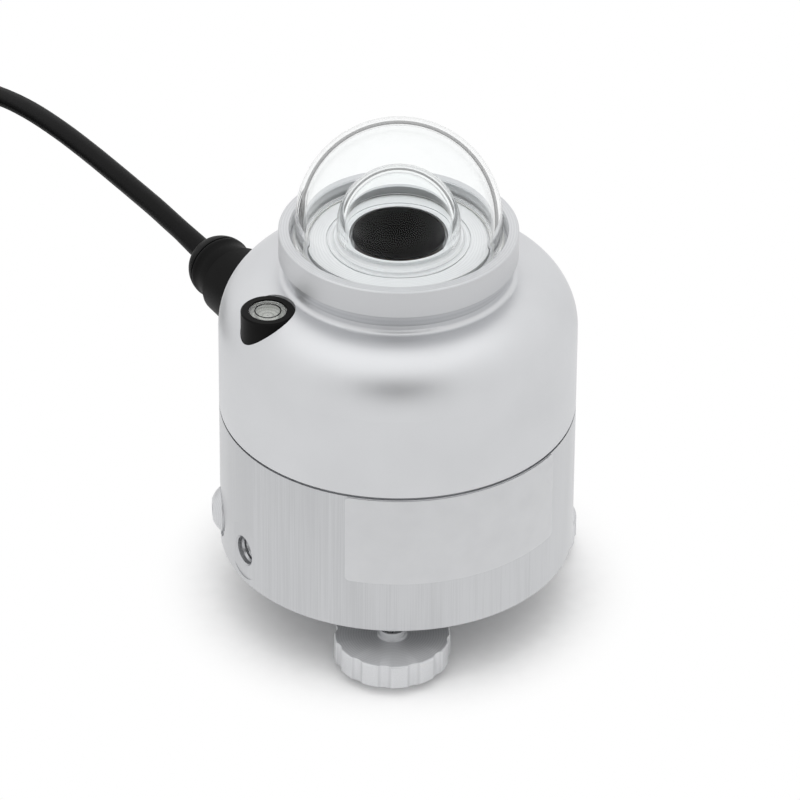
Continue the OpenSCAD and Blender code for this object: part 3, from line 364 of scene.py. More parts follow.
def make_finishes(look):
    """Every finish of the record's material slots, by slot."""
    return {
        "base_finish": anodised_base_painted_sheen(look),
        "cap_finish": blasted_anodised_cap(look),
        "collar_finish": turned_anodised("turned_collar", look.collar_light, look.collar_dark,
                                         rough=(0.42, 0.5)),
        "deck_finish": turned_anodised("matt_deck", "EDEEEF", "E1E2E3", rough=(0.5, 0.6)),
        "sink_finish": turned_anodised("plain_turned_sink", "BDBEC0", "A9AAAC"),
        "wheel_finish": turned_anodised("turned_wheel", look.wheel_light, look.wheel_dark,
                                        tuple(foot_centre(1)), (0.36, 0.46), 0.5),
        "wheel_finish_2": turned_anodised("turned_wheel_2", look.wheel_light, look.wheel_dark,
                                          tuple(foot_centre(2)), (0.36, 0.46), 0.5),
        "screw_steel": plain_steel("stainless_screw", "B4B5B6", "8E8F91"),
        "socket_metal": plain_steel("nickel_plate", "A9A8A4", "8F8E8A", (0.2, 0.3)),
        "contact_gold": gold_plate(),
        # Ground and polished optical glass with a thin coat: clear, with the slightest haze of dust
        "dome_glass": clear("dome_glass", look.glass, 1.5, 3 * MM, (0.0, 0.012), 4.0, 0.5, 0.9,
                            {"Specular Tint": (COATED, COATED, COATED, 1.0)}),
        # Clear acrylic with faint moulding waves, then the spirit with a breath of green, then air,
        # whose skin bends light the other way round
        "level_glass": clear("level_window", "FBFCFB", 1.49, 2 * MM, (0.01, 0.04),
                             extra={"Specular IOR Level": 0.25}),
        "level_liquid": clear("level_spirit", "F6F7F4", 1.36, 4 * MM, (0.0, 0.01)),
        "level_air": clear("level_air", "FFFFFF", 1.01, 4 * MM, (0.0, 0.01)),
        "seal_rubber": moulded("seal_rubber", "232323", "171717", 0.3 * MM, (0.6, 0.75)),
        "pad_rubber": moulded("pad_rubber", "2A2A2A", "1C1C1C", 0.4 * MM, (0.7, 0.85), 0.03 * MM),
        "bond_silicone": moulded("bond_silicone", "D9DAD8", "C4C5C3", 0.5 * MM, (0.4, 0.55),
                                 extra={"Subsurface Weight": 0.1, "Subsurface Radius": (MM, MM, MM)}),
        "sensor_black": moulded("sensor_black_paint", look.sensor_light, look.sensor_dark, 0.12 * MM,
                                (0.8, 0.95), extra={"Specular IOR Level": 0.0}),
        "thermopile_foil": moulded("thermopile_foil", "3A2A1C", "2A1E14", 0.6 * MM, (0.3, 0.5)),
        "level_black": moulded("level_black_anodised", look.plug_light, look.plug_dark, 0.15 * MM,
                               (0.42, 0.55), extra={"Specular IOR Level": 0.1}),
        "level_white": level_dial_paint(tuple(LEVEL_PLACE)),
        "plug_black": moulded("plug_black_nylon", look.plug_light, look.plug_dark, 0.25 * MM,
                              (0.42, 0.58), 0.015 * MM, extra={"Specular IOR Level": 0.1}),
        "insert_black": moulded("insert_black_nylon", "262626", "1A1A1A", 0.3 * MM, (0.5, 0.65)),
        "cable_jacket": moulded("cable_jacket_pur", look.cable_light, look.cable_dark, 0.3 * MM,
                                (0.45, 0.6), 0.02 * MM, extra={"Specular IOR Level": 0.1}),
        "core_plastic": moulded("core_white", "E9E6DC", "D8D4C8", 0.5 * MM, (0.3, 0.4)),
        "core_brown": moulded("core_brown", "6B4A32", "5A3C28", 0.5 * MM, (0.3, 0.4)),
        "core_green": moulded("core_green", "3E8A4B", "33763F", 0.5 * MM, (0.3, 0.4)),
        "core_yellow": moulded("core_yellow", "E3C437", "CFB02C", 0.5 * MM, (0.3, 0.4)),
        "tie_band": moulded("tie_band", "2B2B2B", "1D1D1D", 0.5 * MM, (0.6, 0.75), 0.05 * MM),
        "board_laminate": moulded("board_laminate", "1F6B3D", "18552F", 0.5 * MM, (0.35, 0.5)),
        "terminal_plastic": moulded("terminal_plastic", "2F9A5B", "25814B", 0.5 * MM, (0.35, 0.45)),
        "bag_cloth": woven_bag(),
        "label_white": moulded("label_film_blank", look.label_light, look.label_dark, 0.2 * MM,
                               (0.35, 0.45), 0.002 * MM),
    }


FINISHES = {}


def start(kind, **settings):
    """Deselects everything and adds a primitive, which alone is then selected."""
    if bpy.context.mode != "OBJECT":
        bpy.ops.object.mode_set(mode="OBJECT")
    bpy.ops.object.select_all(action="DESELECT")
    getattr(bpy.ops.mesh, "primitive_" + kind + "_add")(**settings)
    return bpy.context.active_object


def arc(centre, radius, start_deg, end_deg, steps):
    """Points of an arc in the plane of a turned piece's section."""
    angles = [math.radians(start_deg + (end_deg - start_deg) * i / steps) for i in range(steps + 1)]
    return [(centre[0] + radius * math.cos(a), centre[1] + radius * math.sin(a)) for a in angles]


def turned(outline, steps=128):
    """A turned piece: a point is drawn along half the section, as (radius, height), and spun round Z."""
    piece = start("plane", size=MM)
    bpy.ops.object.mode_set(mode="EDIT")
    bpy.ops.mesh.merge(type="CENTER")
    bpy.ops.transform.translate(value=(outline[0][0], 0, outline[0][1]))
    for (r0, z0), (r1, z1) in zip(outline, outline[1:]):
        bpy.ops.mesh.extrude_vertices_move(TRANSFORM_OT_translate={"value": (r1 - r0, 0, z1 - z0)})
    bpy.ops.mesh.select_all(action="SELECT")
    bpy.ops.mesh.spin(steps=steps, angle=2 * math.pi, center=(0, 0, 0), axis=(0, 0, 1))
    bpy.ops.mesh.select_all(action="SELECT")
    bpy.ops.mesh.remove_doubles(threshold=MERGE)
    bpy.ops.mesh.normals_make_consistent(inside=False)
    bpy.ops.object.mode_set(mode="OBJECT")
    return piece


def bevel_edges(piece, width, segments=2, angle=30):
    """Rounds every edge that is sharper than angle, and applies it."""
    bevel = piece.modifiers.new("edges", "BEVEL")
    bevel.width = width
    bevel.segments = segments
    bevel.limit_method = "ANGLE"
    bevel.angle_limit = math.radians(angle)
    bevel.harden_normals = False
    apply_modifiers(piece)


def apply_modifiers(piece):
    """Applies the piece's modifiers in order."""
    bpy.context.view_layer.objects.active = piece
    for modifier in list(piece.modifiers):
        bpy.ops.object.modifier_apply(modifier=modifier.name)


def settle(piece, name, slot, body, nodes=(), place=None, angle=35, finish=None):
    """Puts a finished piece in its place, names it, dresses it and ties it to the frame."""
    bpy.ops.object.select_all(action="DESELECT")
    piece.select_set(True)
    bpy.context.view_layer.objects.active = piece
    if place is not None:
        piece.matrix_world = place
    bpy.ops.object.transform_apply(location=True, rotation=True, scale=True)
    if angle:
        bpy.ops.object.shade_smooth_by_angle(angle=math.radians(angle))
    piece.name = name
    piece.data.name = name
    piece.data.materials.clear()
    piece.data.materials.append(FINISHES[finish or slot])
    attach(piece, body)
    if nodes:
        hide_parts(*nodes)
    return piece


def foot_centre(number):
    """Where a levelling foot's axis meets the table."""
    low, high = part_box("foot_%d_screw" % number)
    return Vector(((low.x + high.x) / 2, (low.y + high.y) / 2, 0))


def fluted(piece, count, cutter_r, reach, low, high, phase=0.0, sides=48):
    """Cuts upright round flutes into a turned piece's rim, evenly round it."""
    cutters = []
    for i in range(count):
        angle = phase + 2 * math.pi * i / count
        spot = (reach * math.cos(angle), reach * math.sin(angle), (low + high) / 2)
        cutters.append(start("cylinder", vertices=sides, radius=cutter_r, depth=high - low, location=spot))
    for cutter in cutters:
        cutter.select_set(True)
    bpy.ops.object.join()
    cutter = bpy.context.active_object
    cut = piece.modifiers.new("flutes", "BOOLEAN")
    cut.operation = "DIFFERENCE"
    cut.solver = "EXACT"
    cut.object = cutter
    apply_modifiers(piece)
    bpy.data.objects.remove(cutter)
    return piece


def plug_place():
    """Turns Z outwards along the connector's axis."""
    turn = Matrix.Rotation(PLUG_BEARING, 4, "Z") @ Matrix.Rotation(math.pi / 2, 4, "Y")
    return Matrix.Translation((0, 0, PLUG_Z)) @ turn


def smooth_step(x):
    """From 0 to 1 without a corner."""
    x = min(1.0, max(0.0, x))
    return x * x * (3 - 2 * x)


def coil_radius(turn):
    """Radius of the coil after so many turns: in and out at a steady rate."""
    fold = turn % (2 * COIL_LAYER_TURNS)
    return COIL_OUT_R - COIL_STEP * min(fold, 2 * COIL_LAYER_TURNS - fold)


def coil_height(turn):
    """Height of the coil: it climbs a layer in the half turn where it reverses."""
    climbs = [(turn - k * COIL_LAYER_TURNS) / COIL_CLIMB_TURNS + 0.5 for k in range(1, COIL_LAYERS)]
    return COIL_Z + COIL_LAYER_H * sum(smooth_step(c) for c in climbs)


def round_coil(radius, angle, height):
    """A point at a radius from the coil's axis."""
    return COIL_CENTRE + Vector((radius * math.cos(angle), radius * math.sin(angle), height))


def coil_point(turn):
    """Where the cable's middle lies after so many turns."""
    return round_coil(coil_radius(turn), COIL_START + 2 * math.pi * turn, coil_height(turn))


def curved(points, steps):
    """A smooth line through the points, with so many steps between two of them."""
    line = []
    ends = [2 * points[0] - points[1], *points, 2 * points[-1] - points[-2]]
    for a, b, c, d in zip(ends, ends[1:], ends[2:], ends[3:]):
        for i in range(steps):
            t = i / steps
            line.append(0.5 * (2 * b + (c - a) * t + (2 * a - 5 * b + 4 * c - d) * t ** 2
                               + (3 * b - a - 3 * c + d) * t ** 3))
    return [*line, points[-1]]


def cord_curve(name, points, diameter, sides=4):
    """A round cord along the points, as one open line with closed ends."""
    line = bpy.data.curves.new(name, "CURVE")
    line.dimensions = "3D"
    line.bevel_depth = diameter / 2
    line.bevel_resolution = sides
    line.use_fill_caps = True
    run = line.splines.new("POLY")
    run.points.add(len(points) - 1)
    for place, point in zip(run.points, points):
        place.co = (*point, 1)
    cord = bpy.data.objects.new(name, line)
    bpy.context.scene.collection.objects.link(cord)
    return cord


def dress_cord(cord, slot, nodes, finish=None):
    """Ties a cord to the frame and gives it its finish."""
    cord.data.materials.append(FINISHES[finish or slot])
    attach(cord, "instrument")
    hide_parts(*nodes)


def towards_camera(stage):
    """The way from the object to the camera."""
    return Vector((0, -math.cos(stage.pitch), math.sin(stage.pitch)))


class PyranometerLook(bpy.types.PropertyGroup):
    """Colours of the main finishes, as sRGB hex codes."""
    # The light base colour is painted streaks of sheen along the upright lines
    base_sheen_streak: bpy.props.StringProperty(
        name="Base, light", description="Brushed base where it shines", default="C9CACC")
    base_dark: bpy.props.StringProperty(
        name="Base, dark", description="Brushed base between the lines", default="BFC0C2")
    cap_light: bpy.props.StringProperty(
        name="Cap, light", description="Blasted cap where it is lightest", default="D5D6D8")
    cap_dark: bpy.props.StringProperty(
        name="Cap, dark", description="Blasted cap where it is darkest", default="D1D2D4")
    collar_light: bpy.props.StringProperty(
        name="Collar, light", description="Turned collar, light rings", default="D9DADC")
    collar_dark: bpy.props.StringProperty(
        name="Collar, dark", description="Turned collar, dark rings", default="CCCDCF")
    wheel_light: bpy.props.StringProperty(
        name="Wheel, light", description="Hand wheels, light rings", default="D9DADC")
    wheel_dark: bpy.props.StringProperty(
        name="Wheel, dark", description="Hand wheels, dark rings", default="CACBCD")
    glass: bpy.props.StringProperty(name="Dome glass", description="Tint of the domes", default="FEFFFF")
    sensor_light: bpy.props.StringProperty(
        name="Sensor, light", description="Sensor paint, light grain", default="0C0C0C")
    sensor_dark: bpy.props.StringProperty(
        name="Sensor, dark", description="Sensor paint, dark grain", default="080808")
    plug_light: bpy.props.StringProperty(
        name="Connector, light", description="Black plastic, worn", default="090909")
    plug_dark: bpy.props.StringProperty(
        name="Connector, dark", description="Black plastic, deep", default="050505")
    cable_light: bpy.props.StringProperty(name="Cable, light", description="Jacket, worn", default="0A0A0B")
    cable_dark: bpy.props.StringProperty(name="Cable, dark", description="Jacket, deep", default="060606")
    label_light: bpy.props.StringProperty(
        name="Label, light", description="Blank film, light", default="D4D5D7")
    label_dark: bpy.props.StringProperty(
        name="Label, dark", description="Blank film, dark", default="D0D1D3")


class PyranometerStage(bpy.types.PropertyGroup):
    """The camera and the light of the stage."""
    distance: bpy.props.FloatProperty(
        name="Camera distance", description="From the aim to the camera", default=1541.64 * MM,
        unit="LENGTH")
    pitch: bpy.props.FloatProperty(
        name="Camera pitch", description="Angle of the view below the horizon", default=math.radians(33.49),
        subtype="ANGLE")
    roll: bpy.props.FloatProperty(
        name="Camera roll", description="Turn of the camera about its own view", default=0.0069,
        subtype="ANGLE")
    lens: bpy.props.FloatProperty(name="Lens", description="Focal length on a 36 mm frame", default=284.49)
    shift: bpy.props.FloatProperty(name="Shift", description="Sideways shift of the frame", default=0.00306)
    aim_drop: bpy.props.FloatProperty(
        name="Aim", description="Depth of the aim below the seam", default=0.54 * MM, unit="LENGTH")
    floor_radius: bpy.props.FloatProperty(
        name="Floor radius", description="Radius of the round white table top", default=0.40, unit="LENGTH")
    shadow_from: bpy.props.FloatProperty(
        name="Shadow fades from", description="Distance from the axis", default=0.040, unit="LENGTH")
    shadow_to: bpy.props.FloatProperty(
        name="Shadow fades to", description="Distance from the axis", default=0.062, unit="LENGTH")
    horizon_light: bpy.props.FloatProperty(
        name="Horizon light", description="Light that falls in from the side", default=0.2)
    top_light: bpy.props.FloatProperty(
        name="Top light", description="Light that falls in from above", default=1.3)
    lamp_light: bpy.props.FloatProperty(
        name="Lamp light", description="Brightness of the overhead lamp's face", default=0.36)
    lamp_radius: bpy.props.FloatProperty(
        name="Lamp radius", description="Size of the overhead lamp", default=0.9, unit="LENGTH")
    lamp_height: bpy.props.FloatProperty(
        name="Lamp height", description="Over the table", default=1.2, unit="LENGTH")
    lamp_side: bpy.props.FloatProperty(
        name="Lamp to the side", description="Towards +X", default=-0.1, unit="LENGTH")
    lamp_back: bpy.props.FloatProperty(
        name="Lamp to the back", description="Towards +Y", default=0.0, unit="LENGTH")
    card_radius: bpy.props.FloatProperty(
        name="Camera card", description="Radius of the dark card behind the camera", default=0.55,
        unit="LENGTH")
    card_tone: bpy.props.StringProperty(
        name="Card tone", description="Colour of the card behind the camera", default="262626")
    ring_tone: bpy.props.StringProperty(
        name="Ring tone", description="Colour of the ring card", default="8A8A8A")
    ring_distance: bpy.props.FloatProperty(
        name="Ring card distance", description="From the domes, along the view", default=0.1, unit="LENGTH")
    ring_inner: bpy.props.FloatProperty(
        name="Ring card, hole", description="Radius of its hole", default=0.077, unit="LENGTH")
    ring_outer: bpy.props.FloatProperty(
        name="Ring card, rim", description="Radius of its rim", default=0.11, unit="LENGTH")


class PYRANOMETER_OT_stage(bpy.types.Operator):
    """Sets the floor, the even light with its lamp, the cards and the camera at the photograph's angle"""
    bl_idname = "pyranometer.stage"
    bl_label = "Set the stage"

    def execute(self, context):
        stage = context.scene.pyranometer_stage
        self.set_floor(stage)
        self.set_light(context, stage)
        self.set_cards(stage)
        self.set_camera(context, stage)
        context.scene.view_settings.view_transform = "Standard"
        return {"FINISHED"}

    def set_floor(self, stage):
        """A round white table top: it shows the shadow near the object and is plain white farther out."""
        floor = start("circle", vertices=128, radius=stage.floor_radius, fill_type="NGON")
        floor.name = "floor"
        bpy.ops.object.mode_set(mode="EDIT")
        bpy.ops.mesh.select_all(action="SELECT")
        bpy.ops.mesh.inset(thickness=stage.floor_radius / 3)
        bpy.ops.object.mode_set(mode="OBJECT")
        finish, tree, place = new_finish("white_floor")
        sockets = {"Vector": place, "Scale": 1 / (4 * MM), "Detail": 2.0}
        paper = add(tree, "TexNoise", sockets).outputs["Fac"]
        speck = add(tree, "MapRange", {"Value": paper, "From Min": 0.3, "From Max": 0.7}).outputs["Result"]
        colour = add(tree, "Mix", {"Factor": speck, 6: srgb("F3F3F3"), 7: srgb("F6F6F6")},
                     data_type="RGBA").outputs[2]
        shade = add(tree, "BsdfDiffuse", {"Color": colour}).outputs["BSDF"]
        white = add(tree, "Emission", {"Color": (1, 1, 1, 1), "Strength": 1.0}).outputs["Emission"]
        away = add(tree, "VectorMath", {0: place}, operation="LENGTH").outputs["Value"]
        fade = {"Value": away, "From Min": stage.shadow_from, "From Max": stage.shadow_to}
        far = add(tree, "MapRange", fade, interpolation_type="SMOOTHSTEP").outputs["Result"]
        both = {0: self.seen_directly(tree), 1: far}
        share = add(tree, "Math", both, operation="MULTIPLY").outputs["Value"]
        mixed = add(tree, "MixShader", {0: share, 1: shade, 2: white}).outputs["Shader"]
        add(tree, "OutputMaterial", {"Surface": mixed})
        floor.data.materials.append(finish)

    def set_light(self, context, stage):
        """A light tent: an even white room that is brighter above, with one large soft lamp overhead."""
        world = bpy.data.worlds.new("light_tent")
        world.use_nodes = True
        tree = world.node_tree
        tree.nodes.clear()
        way = add(tree, "TexCoord", {}).outputs["Generated"]
        rise = add(tree, "SeparateXYZ", {"Vector": way}).outputs["Z"]
        brighter = {"Value": rise, "From Min": 0.0, "From Max": 0.8,
                    "To Min": stage.horizon_light, "To Max": stage.top_light}
        light = add(tree, "MapRange", brighter).outputs["Result"]
        room = add(tree, "Background", {"Color": (1, 1, 1, 1), "Strength": light}).outputs["Background"]
        white = add(tree, "Background", {"Color": (1, 1, 1, 1), "Strength": 1.0}).outputs["Background"]
        mixed = add(tree, "MixShader", {0: self.seen_directly(tree), 1: room, 2: white}).outputs["Shader"]
        add(tree, "OutputWorld", {"Surface": mixed})
        context.scene.world = world
        bpy.ops.object.light_add(type="AREA", location=(stage.lamp_side, stage.lamp_back, stage.lamp_height))
        lamp = context.active_object
        lamp.name = "overhead_lamp"
        lamp.data.shape = "DISK"
        lamp.data.size = 2 * stage.lamp_radius
        lamp.data.energy = stage.lamp_light * (math.pi * stage.lamp_radius) ** 2
        lamp.rotation_euler = (Vector((0, 0, 0)) - lamp.location).to_track_quat("-Z", "Y").to_euler()

    def seen_directly(self, tree):
        """One for what the camera, a polished surface or glass sees, zero for light that falls on things."""
        path = add(tree, "LightPath", {})
        seen = add(tree, "Math", {0: path.outputs["Is Camera Ray"], 1: path.outputs["Is Glossy Ray"]},
                   operation="MAXIMUM").outputs["Value"]
        both = {0: seen, 1: path.outputs["Is Transmission Ray"]}
        return add(tree, "Math", both, operation="MAXIMUM").outputs["Value"]

    def set_cards(self, stage):
        """Dark cards: metal reflects the one behind the camera, glass shows the ring behind the domes."""
        back = towards_camera(stage)
        spot = Vector((0, 0, SEAM_Z)) + back * (stage.distance * 1.1)
        card = start("circle", vertices=64, radius=stage.card_radius, fill_type="NGON", location=spot,
                     rotation=back.to_track_quat("Z", "Y").to_euler())
        card.name = "camera_card"
        spot = Vector((0, 0, DOME_TOP_Z - DOME_R)) - back * stage.ring_distance
        ring = start("circle", vertices=96, radius=stage.ring_outer, fill_type="NGON", location=spot,
                     rotation=back.to_track_quat("Z", "Y").to_euler())
        bpy.ops.object.mode_set(mode="EDIT")
        bpy.ops.mesh.select_all(action="SELECT")
        bpy.ops.mesh.inset(thickness=stage.ring_outer - stage.ring_inner)
        bpy.ops.mesh.delete(type="FACE")
        bpy.ops.object.mode_set(mode="OBJECT")
        ring.name = "ring_card"
        card.visible_transmission = False
        ring.visible_glossy = False
        for sheet, name, tone in ((card, "dark_card", stage.card_tone), (ring, "grey_card", stage.ring_tone)):
            finish, tree, _ = new_finish(name)
            close_finish(tree, {"Base Color": srgb(tone), "Roughness": 0.9, "Specular IOR Level": 0.0})
            sheet.data.materials.append(finish)
            sheet.visible_camera = False
            sheet.visible_shadow = False
            sheet.visible_diffuse = False

    def set_camera(self, context, stage):
        """The photograph's camera: aimed at the axis just below the seam."""
        aim = Vector((0, 0, SEAM_Z - stage.aim_drop))
        back = towards_camera(stage)
        bpy.ops.object.camera_add(location=aim + back * stage.distance)
        camera = context.active_object
        camera.rotation_mode = "QUATERNION"
        tilt = Matrix.Rotation(math.pi / 2 - stage.pitch, 3, "X")
        camera.rotation_quaternion = (tilt @ Matrix.Rotation(stage.roll, 3, "Z")).to_quaternion()
        camera.data.sensor_width = 36
        camera.data.lens = stage.lens
        camera.data.shift_x = stage.shift
        camera.data.clip_start = 0.01
        camera.data.clip_end = 20
        context.scene.camera = camera


class PYRANOMETER_OT_finishes(bpy.types.Operator):
    """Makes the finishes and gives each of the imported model's pieces its own"""
    bl_idname = "pyranometer.finishes"
    bl_label = "Finish the packed pieces"

    def execute(self, context):
        FINISHES.update(make_finishes(context.scene.pyranometer_look))
        for part in frame["record"]["subparts"]:
            node = frame["nodes"][part["node"]]
            for place in node.material_slots:
                place.material = FINISHES[part["material_slot"]]
        # The black level would else leave a dark smear on the silky collar beside it
        frame["nodes"]["level_cup"].visible_glossy = False
        return {"FINISHED"}


class PYRANOMETER_OT_cable(bpy.types.Operator):
    """Lays the signal cable out of the connector and into its coil, with its ties and bare cores"""
    bl_idname = "pyranometer.cable"
    bl_label = "Lay the cable"

    def execute(self, context):
        coil_start = coil_point(0)
        lead_in = [coil_start + k * CABLE_D * Vector((1, 0, 0)) for k in (2, 1)]
        run = [Vector(p) for p in CABLE_ROUTE] + lead_in
        coil = [coil_point(i / COIL_RINGS) for i in range(int(COIL_RINGS * COIL_TURNS) + 1)]
        points = curved(run, 4) + coil
        cable = cord_curve("signal_cable", points, CABLE_D, 3)
        dress_cord(cable, "cable_jacket", ("cable", "cable_coil"))
        parts = self.make_ties() + self.make_cores()
        return {"FINISHED"}

    def make_ties(self):
        """Three soft straps round the coil's section, with rounded corners, as one piece."""
        low = COIL_LIFT - TIE_GAP
        high = COIL_TOP_Z + TIE_GAP
        straps = []
        for angle in TIE_ANGLES:
            first = (math.radians(angle) - COIL_START) / (2 * math.pi) % 1
            half = math.asin(TIE_W / 2 / COIL_IN_R) / (2 * math.pi)
            crossings = [k + first + side for k in range(int(COIL_TURNS)) for side in (-half, 0, half)]
            reaches = [coil_radius(turn) for turn in crossings if 0 <= turn <= COIL_TURNS]
            near = math.sqrt((min(reaches) - CABLE_D / 2) ** 2 - TIE_W ** 2 / 4) - TIE_GAP
            far = max(reaches) + CABLE_D / 2 + TIE_GAP
            strap = start("plane", size=1)
            bpy.ops.object.mode_set(mode="EDIT")
            bpy.ops.mesh.select_all(action="SELECT")
            bpy.ops.transform.resize(value=(far - near + 2 * TIE_T, high - low + 2 * TIE_T, 1))
            bpy.ops.mesh.bevel(affect="VERTICES", offset=CABLE_D / 2 + TIE_T, segments=8)
            bpy.ops.mesh.delete(type="ONLY_FACE")
            bpy.ops.mesh.select_all(action="SELECT")
            bpy.ops.mesh.extrude_edges_move(TRANSFORM_OT_translate={"value": (0, 0, TIE_W)})
            bpy.ops.mesh.select_all(action="SELECT")
            bpy.ops.mesh.normals_make_consistent(inside=False)
            bpy.ops.object.mode_set(mode="OBJECT")
            wall = strap.modifiers.new("wall", "SOLIDIFY")
            wall.thickness = TIE_T
            wall.offset = -1
            bevel_edges(strap, 0.25 * MM, 2, 50)
            turn = Matrix.Rotation(math.radians(angle), 4, "Z")
            middle = Matrix.Translation(((near + far) / 2, TIE_W / 2, (low + high) / 2))
            stand = middle @ Matrix.Rotation(math.pi / 2, 4, "X")
            strap.matrix_world = Matrix.Translation(COIL_CENTRE) @ turn @ stand
            straps.append(strap)
        for strap in straps:
            strap.select_set(True)
        bpy.ops.object.join()
        return [settle(bpy.context.active_object, "coil_straps", "tie_band", "instrument", ("coil_ties",))]

    def make_cores(self):
        """The four insulated wires that leave the jacket, each in its own colour."""
        pieces = [frame["nodes"]["core_ferrules"]]
        end_z = coil_height(COIL_TURNS)
        top_z = COIL_TOP_Z + CORE_R + TIE_GAP
        end_angle = COIL_START + 2 * math.pi * COIL_TURNS
        for i, (colour, finish) in enumerate(WIRES):
            points = []
            for k in range(CORE_STEPS + 1):
                x = k / CORE_STEPS
                side = (i - 1.5) * (CORE_PACK + (CORE_FAN - CORE_PACK) * smooth_step(x))
                radius = coil_radius(COIL_TURNS) - CORE_SHIFT * smooth_step(x) + side
                angle = end_angle + (CORE_L * x + CORE_GAP) / COIL_OUT_R
                height = end_z + (top_z - end_z) * smooth_step(2 * x)
                points.append(round_coil(radius, angle, height))
            core = cord_curve("wire_" + colour, points, 2 * CORE_R, 3)
            dress_cord(core, "core_plastic", ("cable_cores",), finish)
            pieces.append(core)
        return pieces


class PYRANOMETER_OT_domes(bpy.types.Operator):
    """Turns the two glass domes, each a half sphere on a short straight skirt"""
    bl_idname = "pyranometer.domes"
    bl_label = "Make the glass domes"

    def execute(self, context):
        sizes = [("outer_dome_glass", DOME_R, DOME_FOOT_Z, DOME_TOP_Z, "outer_dome"),
                 ("inner_dome_glass", SMALL_DOME_R, SMALL_DOME_FOOT_Z, SMALL_DOME_TOP_Z, "inner_dome")]
        for name, radius, foot_z, top_z, node in sizes:
            centre = (0, top_z - radius)
            inside = radius - DOME_WALL
            outline = [(0, top_z), *arc(centre, radius, 90, 0, 48)[1:], (radius, foot_z), (inside, foot_z),
                       *arc(centre, inside, 0, 90, 40)[:-1], (0, centre[1] + inside)]
            piece = turned(outline, 160)
            settle(piece, name, "dome_glass", "instrument", (node,), angle=40).visible_shadow = False
        return {"FINISHED"}


class PYRANOMETER_OT_feet(bpy.types.Operator):
    """Makes the two levelling feet: a fluted hand wheel and a threaded screw each"""
    bl_idname = "pyranometer.feet"
    bl_label = "Make the levelling feet"

    def execute(self, context):
        for number in FOOT_BEARINGS:
            place = Matrix.Translation(foot_centre(number)) @ Matrix.Rotation(FOOT_BEARINGS[number], 4, "Z")
            body = "foot_%d_wheel_body" % number
            finish = "wheel_finish" if number == 1 else "wheel_finish_2"
            settle(self.wheel(number), "hand_wheel_%d" % number, "wheel_finish", body,
                   ("foot_%d_wheel" % number,), place, 40, finish)
            settle(self.screw(number), "levelling_screw_%d" % number, "screw_steel", body,
                   ("foot_%d_screw" % number,), place, 30)
        return {"FINISHED"}

    def wheel(self, number):
        """A turned disc with sloped rims and a boss, then twelve flutes and broken edges."""
        low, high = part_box("foot_%d_wheel" % number)
        top = high.z - BOSS_H
        face_r = WHEEL_R - WHEEL_SLOPE
        outline = [(SCREW_R, low.z), (face_r, low.z), (WHEEL_R, low.z + WHEEL_SLOPE),
                   (WHEEL_R, top - WHEEL_SLOPE), (face_r, top), (BOSS_R + BOSS_FILLET, top),
                   (BOSS_R, top + BOSS_FILLET), (BOSS_R, high.z), (SCREW_R, high.z), (SCREW_R, low.z)]
        disc = turned(outline, 180)
        fluted(disc, FLUTES, FLUTE_R, WHEEL_R + FLUTE_R - FLUTE_DEPTH, low.z - MM, top + MM / 2, FLUTE_PHASE)
        bevel_edges(disc, WHEEL_EDGE, 2, 30)
        return disc

    def screw(self, number):
        """A steel screw whose thread is drawn as close ridges one millimetre apart."""
        low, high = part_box("foot_%d_screw" % number)
        root, crest = SCREW_R - THREAD_DEPTH, SCREW_R - THREAD_PLAY
        rise, crown, fall = 0.35 * PITCH, 0.5 * PITCH, 0.85 * PITCH
        outline = [(0, low.z), (root, low.z)]
        height = low.z + THREAD_FROM
        while height + PITCH < high.z:
            outline += [(root, height), (crest, height + rise), (crest, height + crown),
                        (root, height + fall)]
            height += PITCH
        return turned([*outline, (root, high.z), (0, high.z)], 48)


class PYRANOMETER_OT_connector(bpy.types.Operator):
    """Makes the connector's ribbed coupling ring and the domed cable nut"""
    bl_idname = "pyranometer.connector"
    bl_label = "Make the connector"

    def execute(self, context):
        settle(self.ring(), "coupling_ring_ribbed", "plug_black", "coupling_ring_body",
               ("coupling_ring",), plug_place(), 40)
        settle(self.nut(), "domed_cable_nut", "plug_black", "instrument", ("plug_nut",), plug_place(), 40)
        return {"FINISHED"}

    def ring(self):
        """A ring with eighteen grooves and softly rounded ends."""
        outline = [(RING_BORE_R, RING_FROM), (RING_R, RING_FROM), (RING_R, RING_TO), (RING_WIDE_R, RING_TO),
                   (RING_WIDE_R, RING_STEP), (RING_BORE_R, RING_STEP), (RING_BORE_R, RING_FROM)]
        piece = turned(outline, 180)
        fluted(piece, RING_GROOVES, RING_GROOVE_R, RING_R + RING_GROOVE_OUT, RING_FROM + RING_GROOVE_FROM,
               RING_TO + MM, 0.0, 24)
        bevel_edges(piece, RING_EDGE, 3, 40)
        return piece

    def nut(self):
        """A smooth waisted barrel that flares to a rim, then a fine groove and the dome."""
        waist = NUT_R - NUT_WAIST
        dome = (0, NUT_RIM)
        groove = math.degrees(math.asin(NUT_GROOVE_FROM / NUT_R))
        groove_end = math.degrees(math.asin(NUT_GROOVE_TO / NUT_R))
        exit_angle = math.degrees(math.acos(NUT_EXIT_R / NUT_R))
        outline = [(NUT_CAVITY_R, NUT_FROM), (waist, NUT_FROM),
                   *arc((waist + NUT_HOLLOW_R, NUT_RIM - NUT_FLARE - NUT_LIP), NUT_HOLLOW_R, 180, 163, 5),
                   (NUT_R, NUT_RIM), *arc(dome, NUT_R, 1, groove, 2),
                   *arc(dome, NUT_R - NUT_GROOVE_DEPTH, groove, groove_end, 2),
                   *arc(dome, NUT_R, groove_end, exit_angle, 24),
                   (NUT_EXIT_R, NUT_STEP), (NUT_CAVITY_R, NUT_STEP), (NUT_CAVITY_R, NUT_FROM)]
        piece = turned(outline, 128)
        bevel_edges(piece, NUT_EDGE, 2, 35)
        return piece


